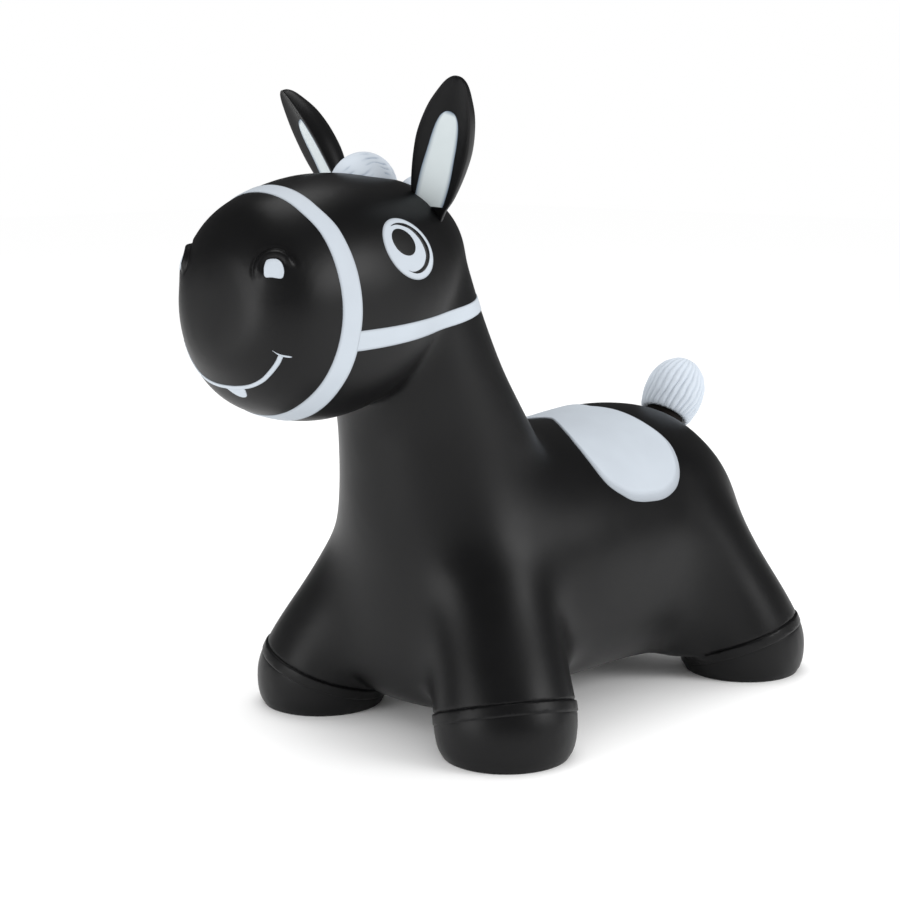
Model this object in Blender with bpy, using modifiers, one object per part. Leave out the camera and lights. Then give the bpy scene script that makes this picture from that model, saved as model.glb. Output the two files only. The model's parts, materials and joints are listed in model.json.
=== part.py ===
"""An inflatable ride-on horse: one hollow moulded vinyl skin on four short air-filled legs, with
moulded hooves, ears, forelock and tail, a painted halter, face and saddle, and a valve plug
under the belly. Lengths are in metres. +Z is up, the horse looks along -Y and its left is +X."""

import math

import bmesh
import bpy
from mathutils import Euler, Matrix, Vector

# Fits and walls
GAP = 0.0003
OVERRUN = 0.02
WALL = 0.0026
PAINT = 0.0009
SADDLE_THICKNESS = 0.0016

# How finely the skin is made
VOXEL = 0.006
MELT_TURNS = 84
EASE_TURNS = 9
MELT_LEVELS = 50
SKIN_FACES = 2400
CAVITY_SHARE = 0.4
SLIVER = 0.0006
MERGE = 0.00005
RING_POINTS = 40
ROW_STEPS = 4
ROUND_POINTS = 48
BALL_POINTS = 20
EAR_POINTS = 28
EAR_STEPS = 2
TUFT_POINTS = 28
ROUND_POWER = 2.0

# The heights between which legs, torso and neck melt together, and over which the melt fades
MELT_FOOT = 0.026
MELT_LOW = 0.060
MELT_HIGH = 0.190
MELT_TOP = 0.235

# Torso, from the front of the chest back
CHEST_Y = -0.1125
TORSO_LENGTH = 0.385
TORSO_WIDTH = 0.216
BELLY_HEIGHT = 0.018
BACK_HEIGHT = 0.231
BELLY_POWER = 2.9
BACK_POWER = 2.1
# along the length, belly line, back line, half width
TORSO_SHARES = (
    (0.00, 0.38, 0.66, 0.15),
    (0.03, 0.08, 0.87, 0.58),
    (0.14, -0.02, 0.97, 0.88),
    (0.36, 0.00, 0.98, 1.00),
    (0.57, 0.00, 0.99, 1.03),
    (0.74, -0.015, 1.005, 1.01),
    (0.89, 0.03, 0.95, 0.92),
    (0.985, 0.28, 0.79, 0.66),
    (1.01, 0.36, 0.64, 0.30),
)

# Neck, from the shoulders up
NECK_FOOT = 0.120
NECK_RISE = 0.250
NECK_REACH = 0.160
NECK_WIDTH = 0.176
NECK_POWER = 2.1
# up the rise, front and back as shares of the reach, half width
NECK_SHARES = (
    (0.00, -0.70, 0.31, 0.97),
    (0.18, -0.75, 0.34, 1.00),
    (0.384, -0.772, 0.26, 0.886),
    (0.52, -0.788, 0.12, 0.83),
    (0.672, -0.862, -0.037, 0.784),
    (0.84, -0.937, -0.162, 0.739),
    (1.00, -1.00, -0.25, 0.682),
)

# Head, from the muzzle back
MUZZLE_Y = -0.272
HEAD_LENGTH = 0.229
HEAD_WIDTH = 0.150
JAW_HEIGHT = 0.259
HEAD_DEPTH = 0.180
HEAD_POWER = 2.1
# along the length, jaw line, crown line, half width
HEAD_SHARES = (
    (0.00, 0.32, 0.62, 0.16),
    (0.026, 0.235, 0.74, 0.58),
    (0.126, 0.080, 0.90, 0.875),
    (0.35, 0.00, 0.994, 0.993),
    (0.585, 0.039, 1.00, 1.00),
    (0.80, 0.183, 0.956, 0.84),
    (0.966, 0.386, 0.836, 0.48),
    (1.00, 0.56, 0.66, 0.12),
)

# Legs: where the hooves stand, where the thighs end inside the torso
HOOF_OUT = 0.1018
HOOF_RADIUS = 0.0545
FRONT_HOOF_Y = -0.0775
REAR_HOOF_Y = 0.2358
HIP_HEIGHT = 0.180
FRONT_HIP_OUT = 0.030
FRONT_HIP_Y = -0.035
FRONT_THIGH_RADIUS = 0.0545
REAR_HIP_OUT = 0.040
REAR_HIP_Y = 0.175
REAR_THIGH_RADIUS = 0.0632
# up the leg, of the way to the hip, of the radius
LEG_SHARES = (
    (-0.044, 0.00, 0.80),
    (0.022, 0.00, 0.95),
    (0.10, 0.00, 1.00),
    (0.25, 0.04, 1.02),
    (0.417, 0.24, 1.00),
    (0.583, 0.49, 1.00),
    (0.75, 0.74, 1.05),
    (0.917, 0.93, 1.00),
    (1.11, 1.00, 0.80),
)
# Webs between the hooves and the belly: the foot and the top of each, out from the middle, aft of
# the hoof's centre, height and radius, as shares of the hoof's offset, its radius, the hip's
# height and the hoof's radius
FRONT_WEB_SHARES = (
    ((0.707, 0.468, 0.180, 0.734), (0.295, 1.330, 0.333, 0.826)),
    ((0.707, -0.046, 0.220, 0.660), (0.196, 0.174, 0.289, 0.660)),
    ((0.884, 0.596, 0.167, 0.550), (0.491, 1.789, 0.556, 0.917)),
)
REAR_WEB_SHARES = (
    ((0.727, -0.657, 0.115, 0.771), (0.344, -1.574, 0.333, 0.826)),
    ((0.835, -0.565, 0.167, 0.660), (0.540, -1.758, 0.556, 0.917)),
)

# Hoof caps end at a tilted ring, and the soft part of each leg is the sleeve above it
HOOF_PROUD = 0.0010
POST_MARGIN = 0.0025
FRONT_RING_HEIGHT = 0.037
REAR_RING_HEIGHT = 0.034
SPLAY_TILT = math.radians(17.7)
RAKE_TILT = math.radians(10.8)
SLEEVE_HEIGHT = 0.030

# Places on the head: out from the middle, along from the muzzle and up from the jaw, as shares
# of its half width, length and depth
NOSTRIL_SHARES = (0.633, 0.070, 0.653)
NOSEBAND_SHARES = (0.0, -0.0022, 0.4944)
STRAP_SHARES = (0.0, 0.332, 0.364)
EYE_SHARES = (1.0, 0.5502, 0.7056)
PUPIL_SHARES = (1.0, 0.5284, 0.7361)
SMILE_SHARES = (0.0, 0.0, 0.186)
FORELOCK_SHARES = (0.0, 0.6638, 0.9389)
TUFT_SHARES = (0.0, 0.8996, 0.8611)
EAR_ROOT_SHARES = (0.5987, 0.7397, 0.8444)

# Nostrils, raised rings on the muzzle
NOSTRIL_FACING = Vector((0.67, -0.69, 0.30))
NOSTRIL_RADIUS = 0.0077
NOSTRIL_BUMP_RADIUS = 0.019
NOSTRIL_BUMP_DEPTH = 0.0135

# Halter: the noseband lies on a sphere about a point in the muzzle, the strap is nearly level
NOSEBAND_RADIUS = 0.0975
NOSEBAND_WIDTH = 0.0155
STRAP_TILT = math.radians(5.3)
STRAP_WIDTH = 0.0138

# Eyes, seen from the side
EYE_LENGTH = 0.053
EYE_WIDTH = 0.041
EYE_TILT = math.radians(30)
PUPIL_LENGTH = 0.0245
PUPIL_WIDTH = 0.0195

# Smile, an arc seen from the front
SMILE_RADIUS = 0.0672
SMILE_HALF_WIDTH = 0.0514
SMILE_LINE = 0.0034
DIMPLE_LENGTH = 0.009
DIMPLE_WIDTH = 0.0022
DIMPLE_TILT = math.radians(30)
TOOTH_WIDTH = 0.0165
TOOTH_DROP = 0.0095

# Saddle, a painted band over the back with a rounded flap on each side: its middle, the front
# edge over the spine and the flaps' height, as shares of the torso's length and depth
SADDLE_ALONG_SHARE = 0.5766
SADDLE_FRONT_SHARE = 0.513
SADDLE_FLAP_SHARE = 0.880
SADDLE_LENGTH = 0.104
SADDLE_FLAP_DROP = 0.0375
SADDLE_FRONT_RADIUS = 0.090

# Forelock and mane tuft: half sizes
FORELOCK_HALF = Vector((0.021, 0.036, 0.030))
TUFT_HALF = Vector((0.014, 0.022, 0.022))

# Ears: a cup with a round back and a dished front, on a ball root in a socket in the head
EAR_LENGTH = 0.1104
EAR_LEAN_SHARES = (0.4446, -0.1757, 0.8784)
EAR_TURN = math.radians(15.6)
EAR_ROOT_RADIUS = 0.0125
EAR_WIDTH = 0.0385
EAR_THICKNESS = 0.0234
EAR_RELIEF = 0.0024
LINING_DEPTH_SHARE = 0.60
LINING_SHARE = 0.56
LINING_FOOT_SHARE = 0.10
LINING_TOP_SHARE = 0.73
EAR_LIP_SHARE = 0.7
EAR_DISH_SHARE = 1.2
EAR_FLARE_SHARE = 0.34
# along the ear, half width, depth of the back
EAR_SHARES = (
    (0.04, 0.66, 0.42),
    (0.14, 0.82, 0.58),
    (0.26, 0.93, 0.79),
    (0.38, 1.00, 0.92),
    (0.50, 1.03, 0.95),
    (0.62, 0.97, 0.93),
    (0.75, 0.83, 0.83),
    (0.87, 0.60, 0.62),
    (0.955, 0.34, 0.40),
    (1.00, 0.08, 0.12),
)

# Tail: a ribbed tuft on a dark collar, with a ball root in a socket in the rump
TAIL_ROOT_SHARES = (0.9296, 0.8516)
TAIL_LEAN = math.radians(33)
TAIL_ROOT_RADIUS = 0.0125
COLLAR_RADIUS = 0.0165
COLLAR_FOOT = 0.0095
COLLAR_TOP = 0.0205
TAIL_TUFT_FOOT = 0.0165
TAIL_TUFT_LENGTH = 0.060
TAIL_TUFT_RADIUS = 0.0275
TAIL_TUFT_WALL = 0.0030
TAIL_RELIEF = 0.0040
TAIL_STEPS = 2
RIB_COUNT = 20
RIB_POINTS = 2
RIB_DEPTH = 0.0009
# along the tuft, radius
TAIL_SHARES = (
    (0.00, 0.80),
    (0.20, 0.95),
    (0.42, 1.00),
    (0.64, 0.90),
    (0.82, 0.68),
    (0.95, 0.36),
    (1.00, 0.10),
)

# Valve plug and its boss, in the middle of the belly
VALVE_SHARE = 0.5
PLUG_HEAD_RADIUS = 0.0095
PLUG_HEAD_THICKNESS = 0.0022
PLUG_STEM_RADIUS = 0.0042
PLUG_BARB_RADIUS = 0.0046
PLUG_STEM_LENGTH = 0.0085
PLUG_RECESS = 0.0026
BOSS_WALL = 0.0030
SOCKET_WALL = 0.0026

BLACK = (0.020, 0.020, 0.022, 1.0)
DARK = (0.012, 0.010, 0.009, 1.0)
WHITE = (0.60, 0.66, 0.72, 1.0)
SIDES = (("left", 1), ("right", -1))


def clear_scene():
    for obj in list(bpy.data.objects):
        bpy.data.objects.remove(obj)


def new_collection(name):
    made = bpy.data.collections.new(name)
    bpy.context.scene.collection.children.link(made)
    return made


def add_object(name, mesh, collection):
    obj = bpy.data.objects.new(name, mesh)
    collection.objects.link(obj)
    return obj


def finish(obj, colour, roughness=0.5):
    """Gives the piece its own material and shades its round faces smooth."""
    material = bpy.data.materials.new(obj.name)
    material.use_nodes = True
    shader = material.node_tree.nodes["Principled BSDF"]
    shader.inputs["Base Color"].default_value = colour
    shader.inputs["Roughness"].default_value = roughness
    shader.inputs["Metallic"].default_value = 0.0
    obj.data.materials.clear()
    obj.data.materials.append(material)
    obj.data.shade_smooth()
    obj.data.set_sharp_from_angle(angle=math.radians(40))
    return obj


def settle(obj):
    """Replaces the object's mesh by the one its modifiers give."""
    graph = bpy.context.evaluated_depsgraph_get()
    mesh = bpy.data.meshes.new_from_object(obj.evaluated_get(graph))
    obj.modifiers.clear()
    obj.data = mesh
    return obj


def modify(obj, kind, **values):
    modifier = obj.modifiers.new(kind.title(), kind)
    for key, value in values.items():
        setattr(modifier, key, value)
    return modifier


def boolean(obj, operation, other):
    modify(obj, "BOOLEAN", operation=operation, solver="EXACT", object=other)
    return settle(obj)


def helper(name, mesh, collection):
    """A cutter or guide: drawn as wire and left out of renders."""
    obj = add_object(name, mesh, collection)
    obj.hide_render = True
    obj.display_type = "WIRE"
    return obj


def mesh_of(name, bm):
    bmesh.ops.recalc_face_normals(bm, faces=bm.faces)
    mesh = bpy.data.meshes.new(name)
    bm.to_mesh(mesh)
    bm.free()
    return mesh


def smooth_rows(rows, steps):
    """The rows with steps - 1 more between each two, on a Catmull-Rom curve through them."""
    knots = [Vector(row) for row in rows]
    first = knots[0] - (knots[1] - knots[0])
    last = knots[-1] + (knots[-1] - knots[-2])
    ends = [first, *knots, last]
    made = []
    for before, start, end, after in zip(ends, ends[1:], ends[2:], ends[3:]):
        leave = (end - before) / 2
        arrive = (after - start) / 2
        for step in range(steps):
            t = step / steps
            rest = 1 - t
            turn = t * t * (3 - 2 * t)
            made.append(start.lerp(end, turn) + leave * t * rest * rest - arrive * t * t * rest)
    made.append(knots[-1])
    return made


def on_head(shares):
    """A place given as shares of the head's half width, length and depth."""
    out, along, up = shares
    return Vector((out * HEAD_WIDTH / 2, MUZZLE_Y + along * HEAD_LENGTH, JAW_HEIGHT + up * HEAD_DEPTH))


def on_torso(along, up):
    """A place in the middle plane, given as shares of the torso's length and depth."""
    depth = BACK_HEIGHT - BELLY_HEIGHT
    return Vector((0, CHEST_Y + along * TORSO_LENGTH, BELLY_HEIGHT + up * depth))


def oval(half_width, low, high, low_power, high_power):
    """A ring of points about an oval. A power of 2 is an ellipse, and more is squarer."""
    middle = (low + high) / 2
    half = (high - low) / 2
    ring = []
    for k in range(RING_POINTS):
        turn = math.tau * k / RING_POINTS
        across, up = math.cos(turn), math.sin(turn)
        power = 2 / (high_power if up >= 0 else low_power)
        ring.append((
            math.copysign(abs(across) ** power, across) * half_width,
            middle + math.copysign(abs(up) ** power, up) * half,
        ))
    return ring


def loft(bm, rings):
    """Joins rings of as many points into one closed body."""
    rows = [[bm.verts.new(point) for point in ring] for ring in rings]
    for near, far in zip(rows, rows[1:]):
        for k in range(len(near)):
            following = (k + 1) % len(near)
            bm.faces.new((near[k], near[following], far[following], far[k]))
    bm.faces.new(rows[0][::-1])
    bm.faces.new(rows[-1])


def add_torso(bm):
    depth = BACK_HEIGHT - BELLY_HEIGHT
    rings = []
    for along, low, high, width in smooth_rows(TORSO_SHARES, ROW_STEPS):
        y = CHEST_Y + along * TORSO_LENGTH
        section = oval(
            width * TORSO_WIDTH / 2,
            BELLY_HEIGHT + low * depth,
            BELLY_HEIGHT + high * depth,
            BELLY_POWER,
            BACK_POWER,
        )
        rings.append([(x, y, z) for x, z in section])
    loft(bm, rings)


def add_neck(bm):
    rings = []
    for up, front, back, width in smooth_rows(NECK_SHARES, ROW_STEPS):
        z = NECK_FOOT + up * NECK_RISE
        half_width = width * NECK_WIDTH / 2
        section = oval(half_width, front * NECK_REACH, back * NECK_REACH, NECK_POWER, NECK_POWER)
        rings.append([(x, y, z) for x, y in section])
    loft(bm, rings)


def add_head(bm):
    rings = []
    for along, low, high, width in smooth_rows(HEAD_SHARES, ROW_STEPS):
        y = MUZZLE_Y + along * HEAD_LENGTH
        section = oval(
            width * HEAD_WIDTH / 2,
            JAW_HEIGHT + low * HEAD_DEPTH,
            JAW_HEIGHT + high * HEAD_DEPTH,
            HEAD_POWER,
            HEAD_POWER,
        )
        rings.append([(x, y, z) for x, z in section])
    loft(bm, rings)


def add_leg(bm, side, hoof_y, hip_out, hip_y, thigh_radius):
    rings = []
    for up, way, full in smooth_rows(LEG_SHARES, ROW_STEPS):
        x = side * (HOOF_OUT + way * (hip_out - HOOF_OUT))
        y = hoof_y + way * (hip_y - hoof_y)
        radius = full * (HOOF_RADIUS + way * (thigh_radius - HOOF_RADIUS))
        section = oval(radius, -radius, radius, ROUND_POWER, ROUND_POWER)
        rings.append([(x + across, y + fore, up * HIP_HEIGHT) for across, fore in section])
    loft(bm, rings)


def add_web(bm, side, hoof_y, ends):
    rings = []
    for out, aft, up, full in ends:
        radius = full * HOOF_RADIUS
        section = oval(radius, -radius, radius, ROUND_POWER, ROUND_POWER)
        x = side * out * HOOF_OUT
        y = hoof_y + aft * HOOF_RADIUS
        rings.append([(x + across, y + fore, up * HIP_HEIGHT) for across, fore in section])
    loft(bm, rings)


def add_nostril_bump(bm, side):
    facing = NOSTRIL_FACING.normalized()
    facing.x *= side
    centre = mirrored(on_head(NOSTRIL_SHARES), side) - facing * NOSTRIL_BUMP_DEPTH
    bmesh.ops.create_uvsphere(
        bm,
        u_segments=RING_POINTS,
        v_segments=RING_POINTS // 2,
        radius=NOSTRIL_BUMP_RADIUS,
        matrix=Matrix.Translation(centre),
    )


def cut_flat(obj):
    """Cuts the soles flat on the floor and closes them."""
    bm = bmesh.new()
    bm.from_mesh(obj.data)
    cut = bmesh.ops.bisect_plane(
        bm,
        geom=bm.verts[:] + bm.edges[:] + bm.faces[:],
        dist=MERGE,
        plane_co=Vector(),
        plane_no=Vector((0, 0, -1)),
        clear_outer=True,
    )
    rim = [item for item in cut["geom_cut"] if isinstance(item, bmesh.types.BMEdge)]
    bmesh.ops.holes_fill(bm, edges=rim)
    bmesh.ops.triangulate(bm, faces=[face for face in bm.faces if len(face.verts) > 4])
    obj.data = mesh_of(obj.name, bm)


def ramp(value, start, end):
    """0 up to start, 1 from end on, and an eased rise between them."""
    t = min(1, max(0, (value - start) / (end - start)))
    return t * t * (3 - 2 * t)


def melt_joins(form):
    """Marks the part of the skin in which the legs, torso and neck flow together."""
    group = form.vertex_groups.new(name="melt")
    for vertex in form.data.vertices:
        height = vertex.co.z
        share = ramp(height, MELT_FOOT, MELT_LOW) * (1 - ramp(height, MELT_HIGH, MELT_TOP))
        group.add([vertex.index], round(share * MELT_LEVELS) / MELT_LEVELS, "REPLACE")
    modify(form, "SMOOTH", factor=0.5, iterations=MELT_TURNS, vertex_group="melt")


def rough_form(collection):
    """Every loft, all in one mesh that still crosses itself."""
    bm = bmesh.new()
    add_torso(bm)
    add_neck(bm)
    add_head(bm)
    for _, side in SIDES:
        add_leg(bm, side, FRONT_HOOF_Y, FRONT_HIP_OUT, FRONT_HIP_Y, FRONT_THIGH_RADIUS)
        add_leg(bm, side, REAR_HOOF_Y, REAR_HIP_OUT, REAR_HIP_Y, REAR_THIGH_RADIUS)
        for ends in FRONT_WEB_SHARES:
            add_web(bm, side, FRONT_HOOF_Y, ends)
        for ends in REAR_WEB_SHARES:
            add_web(bm, side, REAR_HOOF_Y, ends)
        add_nostril_bump(bm, side)
    return helper("skin_form", mesh_of("skin_form", bm), collection)


def skin_form(collection):
    """The whole outer form as one body: lofts melted together and eased at their joins."""
    form = rough_form(collection)
    modify(form, "REMESH", mode="VOXEL", voxel_size=VOXEL)
    settle(form)
    melt_joins(form)
    modify(form, "SMOOTH", factor=0.5, iterations=EASE_TURNS)
    settle(form)
    cut_flat(form)
    triangles = sum(len(face.vertices) - 2 for face in form.data.polygons)
    modify(form, "DECIMATE", ratio=SKIN_FACES / triangles)
    modify(
        form,
        "MIRROR",
        use_axis=(True, False, False),
        use_bisect_axis=(True, False, False),
        merge_threshold=MERGE,
    )
    settle(form)
    bm = bmesh.new()
    bm.from_mesh(form.data)
    bmesh.ops.dissolve_degenerate(bm, dist=SLIVER, edges=bm.edges)
    bmesh.ops.triangulate(bm, faces=bm.faces)
    form.data = mesh_of("skin_form", bm)
    return form


def grown(form, name, distance, collection):
    """A copy of the form whose surface lies a distance outside it."""
    obj = helper(name, form.data.copy(), collection)
    modify(obj, "DISPLACE", strength=distance, mid_level=0, direction="NORMAL")
    return settle(obj)


def ball(name, centre, radius, points, collection):
    bm = bmesh.new()
    bmesh.ops.create_uvsphere(
        bm,
        u_segments=points,
        v_segments=points // 2,
        radius=radius,
        matrix=Matrix.Translation(centre),
    )
    return helper(name, mesh_of(name, bm), collection)


def rod(name, centre, facing, half_length, half_u, half_v, tilt, collection):
    """An elliptical cylinder about centre along facing. half_u lies level before the tilt."""
    bm = bmesh.new()
    bmesh.ops.create_cone(
        bm, cap_ends=True, segments=ROUND_POINTS, radius1=1, radius2=1, depth=2
    )
    level = Vector((0, 0, 1)).cross(facing)
    if level.length < abs(facing.z):
        level = Vector((1, 0, 0))
    level.normalize()
    up = facing.normalized().cross(level)
    frame = Matrix((level, up, facing.normalized())).transposed().to_4x4()
    size = Matrix.Diagonal((half_u, half_v, half_length, 1))
    bmesh.ops.transform(
        bm,
        matrix=Matrix.Translation(centre) @ frame @ Matrix.Rotation(tilt, 4, "Z") @ size,
        verts=bm.verts,
    )
    return helper(name, mesh_of(name, bm), collection)


def block(name, low, high, turn, collection):
    """A box between two corners, turned about the middle of its low Y face."""
    bm = bmesh.new()
    bmesh.ops.create_cube(bm, size=1)
    middle = (low + high) / 2
    span = high - low
    pivot = Vector((middle.x, low.y, middle.z))
    place = Matrix.Translation(pivot) @ turn.to_matrix().to_4x4() @ Matrix.Translation(middle - pivot)
    bmesh.ops.transform(bm, matrix=place @ Matrix.Diagonal((*span, 1)), verts=bm.verts)
    return helper(name, mesh_of(name, bm), collection)


def slanted_post(name, centre, radius, low, high, slopes, collection):
    """An upright post. An end above the floor slants, and one on or under it is level."""
    bm = bmesh.new()
    rings = []
    for height in (low, high):
        ring = []
        for k in range(ROUND_POINTS):
            turn = math.tau * k / ROUND_POINTS
            across, fore = radius * math.cos(turn), radius * math.sin(turn)
            lift = 0 if height <= 0 else slopes[0] * across + slopes[1] * fore
            ring.append((centre.x + across, centre.y + fore, height + lift))
        rings.append(ring)
    loft(bm, rings)
    return helper(name, mesh_of(name, bm), collection)


def legs():
    """Name, hoof centre, ring height and ring slopes of each leg."""
    splay, rake = math.tan(SPLAY_TILT), math.tan(RAKE_TILT)
    for end, hoof_y, ring, along in (
        ("front", FRONT_HOOF_Y, FRONT_RING_HEIGHT, -rake),
        ("rear", REAR_HOOF_Y, REAR_RING_HEIGHT, rake),
    ):
        for word, side in SIDES:
            yield f"{end}_{word}", Vector((side * HOOF_OUT, hoof_y, 0)), ring, (side * splay, along)


def mirrored(point, side):
    return Vector((side * point.x, point.y, point.z))


def ear_root(side):
    return mirrored(on_head(EAR_ROOT_SHARES), side)


def ear_frame(side):
    """The ear's own axes at its root: X across the leaf, Y out of its back, Z to the tip."""
    along = mirrored(Vector(EAR_LEAN_SHARES), side).normalized()
    across = Vector((math.cos(EAR_TURN), side * math.sin(EAR_TURN), 0))
    across = (across - along * across.dot(along)).normalized()
    back = along.cross(across)
    frame = Matrix((across, back, along)).transposed().to_4x4()
    return Matrix.Translation(ear_root(side)) @ frame


def roots():
    """Name, centre and radius of each ball root."""
    for word, side in SIDES:
        yield f"{word}_ear", ear_root(side), EAR_ROOT_RADIUS
    yield "tail", on_torso(*TAIL_ROOT_SHARES), TAIL_ROOT_RADIUS


def tail_frame():
    return Matrix.Translation(on_torso(*TAIL_ROOT_SHARES)) @ Matrix.Rotation(-TAIL_LEAN, 4, "X")


def cavity(form, collection):
    """The air space: the form drawn in by the wall, less the thicker walls round each socket."""
    air = helper("cavity", form.data.copy(), collection)
    modify(air, "DECIMATE", ratio=CAVITY_SHARE)
    modify(air, "DISPLACE", strength=-WALL, mid_level=0, direction="NORMAL")
    settle(air)
    for name, root, radius in roots():
        pad = ball(f"{name}_pad", root, radius + GAP + SOCKET_WALL, BALL_POINTS, collection)
        boolean(air, "DIFFERENCE", pad)
    boss = rod(
        "valve_boss",
        on_torso(VALVE_SHARE, 0),
        Vector((0, 0, 1)),
        PLUG_RECESS + BOSS_WALL,
        PLUG_HEAD_RADIUS + BOSS_WALL,
        PLUG_HEAD_RADIUS + BOSS_WALL,
        0,
        collection,
    )
    return boolean(air, "DIFFERENCE", boss)


def make_skin(form, air, parts, cutters):
    """The torso, neck and head, and the four soft leg sleeves, all of one wall."""
    shell = helper("shell", form.data.copy(), cutters)
    boolean(shell, "DIFFERENCE", air)
    torso = add_object("body_skin", shell.data.copy(), parts)
    for name, foot, ring, slopes in legs():
        top = ring + SLEEVE_HEIGHT
        radius = HOOF_RADIUS + POST_MARGIN
        socket = slanted_post(f"{name}_hole", foot, radius + GAP, -OVERRUN, top + GAP, slopes, cutters)
        boolean(torso, "DIFFERENCE", socket)
        sleeve = slanted_post(f"{name}_sleeve", foot, radius, ring + GAP, top, slopes, cutters)
        leg = add_object(f"{name}_leg", shell.data.copy(), parts)
        finish(boolean(leg, "INTERSECT", sleeve), BLACK)
    for name, root, radius in roots():
        socket = ball(f"{name}_socket", root, radius + GAP, BALL_POINTS, cutters)
        boolean(torso, "DIFFERENCE", socket)
    for name, radius, height in (
        ("plug_recess", PLUG_HEAD_RADIUS + GAP, BELLY_HEIGHT + PLUG_RECESS),
        ("plug_bore", PLUG_BARB_RADIUS + GAP, BELLY_HEIGHT + OVERRUN),
    ):
        foot = on_torso(VALVE_SHARE, 0)
        boolean(torso, "DIFFERENCE", slanted_post(name, foot, radius, -OVERRUN, height, (0, 0), cutters))
    return finish(torso, BLACK)


def make_hooves(form, air, parts, cutters):
    """Each hoof is a cup that stands a little proud of the leg above it."""
    proud = grown(form, "hoof_form", HOOF_PROUD, cutters)
    boolean(proud, "DIFFERENCE", air)
    for name, foot, ring, slopes in legs():
        post = slanted_post(f"{name}_post", foot, HOOF_RADIUS + POST_MARGIN, 0, ring, slopes, cutters)
        hoof = add_object(f"{name}_hoof", proud.data.copy(), parts)
        finish(boolean(hoof, "INTERSECT", post), BLACK)


def painted(name, base, cutter, thickness, colour, parts):
    """A raised painted zone: the layer of that thickness over the base, inside the cutter."""
    zone = add_object(name, base.data.copy(), parts)
    modify(zone, "DISPLACE", strength=GAP, mid_level=0, direction="NORMAL")
    modify(zone, "SOLIDIFY", thickness=thickness, offset=1)
    modify(zone, "BOOLEAN", operation="INTERSECT", solver="EXACT", object=cutter)
    return finish(settle(zone), colour)


def make_halter(form, parts, cutters):
    centre = on_head(NOSEBAND_SHARES)
    outer, inner = NOSEBAND_RADIUS + NOSEBAND_WIDTH / 2, NOSEBAND_RADIUS - NOSEBAND_WIDTH / 2
    band = ball("noseband_cut", centre, outer, ROUND_POINTS, cutters)
    boolean(band, "DIFFERENCE", ball("noseband_core", centre, inner, ROUND_POINTS, cutters))
    painted("noseband", form, band, PAINT, WHITE, parts)
    start = on_head(STRAP_SHARES)
    low = start - Vector((HEAD_WIDTH, 0, STRAP_WIDTH / 2))
    high = start + Vector((HEAD_WIDTH, HEAD_LENGTH, STRAP_WIDTH / 2))
    strap = block("strap_cut", low, high, Euler((STRAP_TILT, 0, 0)), cutters)
    clear = ball("noseband_clear", centre, outer + GAP, ROUND_POINTS, cutters)
    painted("cheek_strap", form, boolean(strap, "DIFFERENCE", clear), PAINT, WHITE, parts)


def make_eyes(form, parts, cutters):
    for word, side in SIDES:
        tilt = side * EYE_TILT
        facing = Vector((side, 0, 0))
        white_at = mirrored(on_head(EYE_SHARES), side)
        pupil_at = mirrored(on_head(PUPIL_SHARES), side)
        depth = HEAD_WIDTH / 4
        white = rod(f"{word}_eye_cut", white_at, facing, depth, EYE_LENGTH / 2, EYE_WIDTH / 2, -tilt, cutters)
        half_length, half_width = PUPIL_LENGTH / 2, PUPIL_WIDTH / 2
        hole = rod(
            f"{word}_pupil_hole", pupil_at, facing, depth + OVERRUN,
            half_length + GAP, half_width + GAP, -tilt, cutters,
        )
        pupil = rod(f"{word}_pupil_cut", pupil_at, facing, depth, half_length, half_width, -tilt, cutters)
        painted(f"{word}_eye", form, boolean(white, "DIFFERENCE", hole), PAINT, WHITE, parts)
        painted(f"{word}_pupil", form, pupil, PAINT, BLACK, parts)


def make_nostrils(form, parts, cutters):
    for word, side in SIDES:
        centre = mirrored(on_head(NOSTRIL_SHARES), side)
        facing = mirrored(NOSTRIL_FACING, side)
        cut = rod(
            f"{word}_nostril_cut", centre, facing, NOSTRIL_BUMP_DEPTH,
            NOSTRIL_RADIUS, NOSTRIL_RADIUS, 0, cutters,
        )
        painted(f"{word}_nostril", form, cut, PAINT, WHITE, parts)


def make_mouth(form, parts, cutters):
    ahead = Vector((0, 1, 0))
    lowest = on_head(SMILE_SHARES)
    arc_at = lowest + Vector((0, 0, SMILE_RADIUS))
    depth = HEAD_LENGTH / 4
    outer, inner = SMILE_RADIUS + SMILE_LINE / 2, SMILE_RADIUS - SMILE_LINE / 2
    line = rod("smile_cut", arc_at, ahead, depth, outer, outer, 0, cutters)
    boolean(line, "DIFFERENCE", rod("smile_core", arc_at, ahead, depth + OVERRUN, inner, inner, 0, cutters))
    rise = SMILE_RADIUS - math.sqrt(SMILE_RADIUS**2 - SMILE_HALF_WIDTH**2)
    low = lowest - Vector((SMILE_HALF_WIDTH, OVERRUN + depth, OVERRUN))
    high = lowest + Vector((SMILE_HALF_WIDTH, OVERRUN + depth, rise))
    boolean(line, "INTERSECT", block("smile_window", low, high, Euler(), cutters))
    for word, side in SIDES:
        corner = lowest + Vector((side * SMILE_HALF_WIDTH, 0, rise))
        dimple = rod(
            f"{word}_dimple", corner, ahead, depth,
            DIMPLE_LENGTH / 2, DIMPLE_WIDTH / 2, side * DIMPLE_TILT, cutters,
        )
        boolean(line, "UNION", dimple)
    painted("mouth_line", form, line, PAINT, WHITE, parts)
    tooth = rod("tooth_cut", lowest, ahead, depth, TOOTH_WIDTH / 2, TOOTH_DROP, 0, cutters)
    above = rod("tooth_top", arc_at, ahead, depth + OVERRUN, outer + GAP, outer + GAP, 0, cutters)
    painted("tooth", form, boolean(tooth, "DIFFERENCE", above), PAINT, WHITE, parts)


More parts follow.
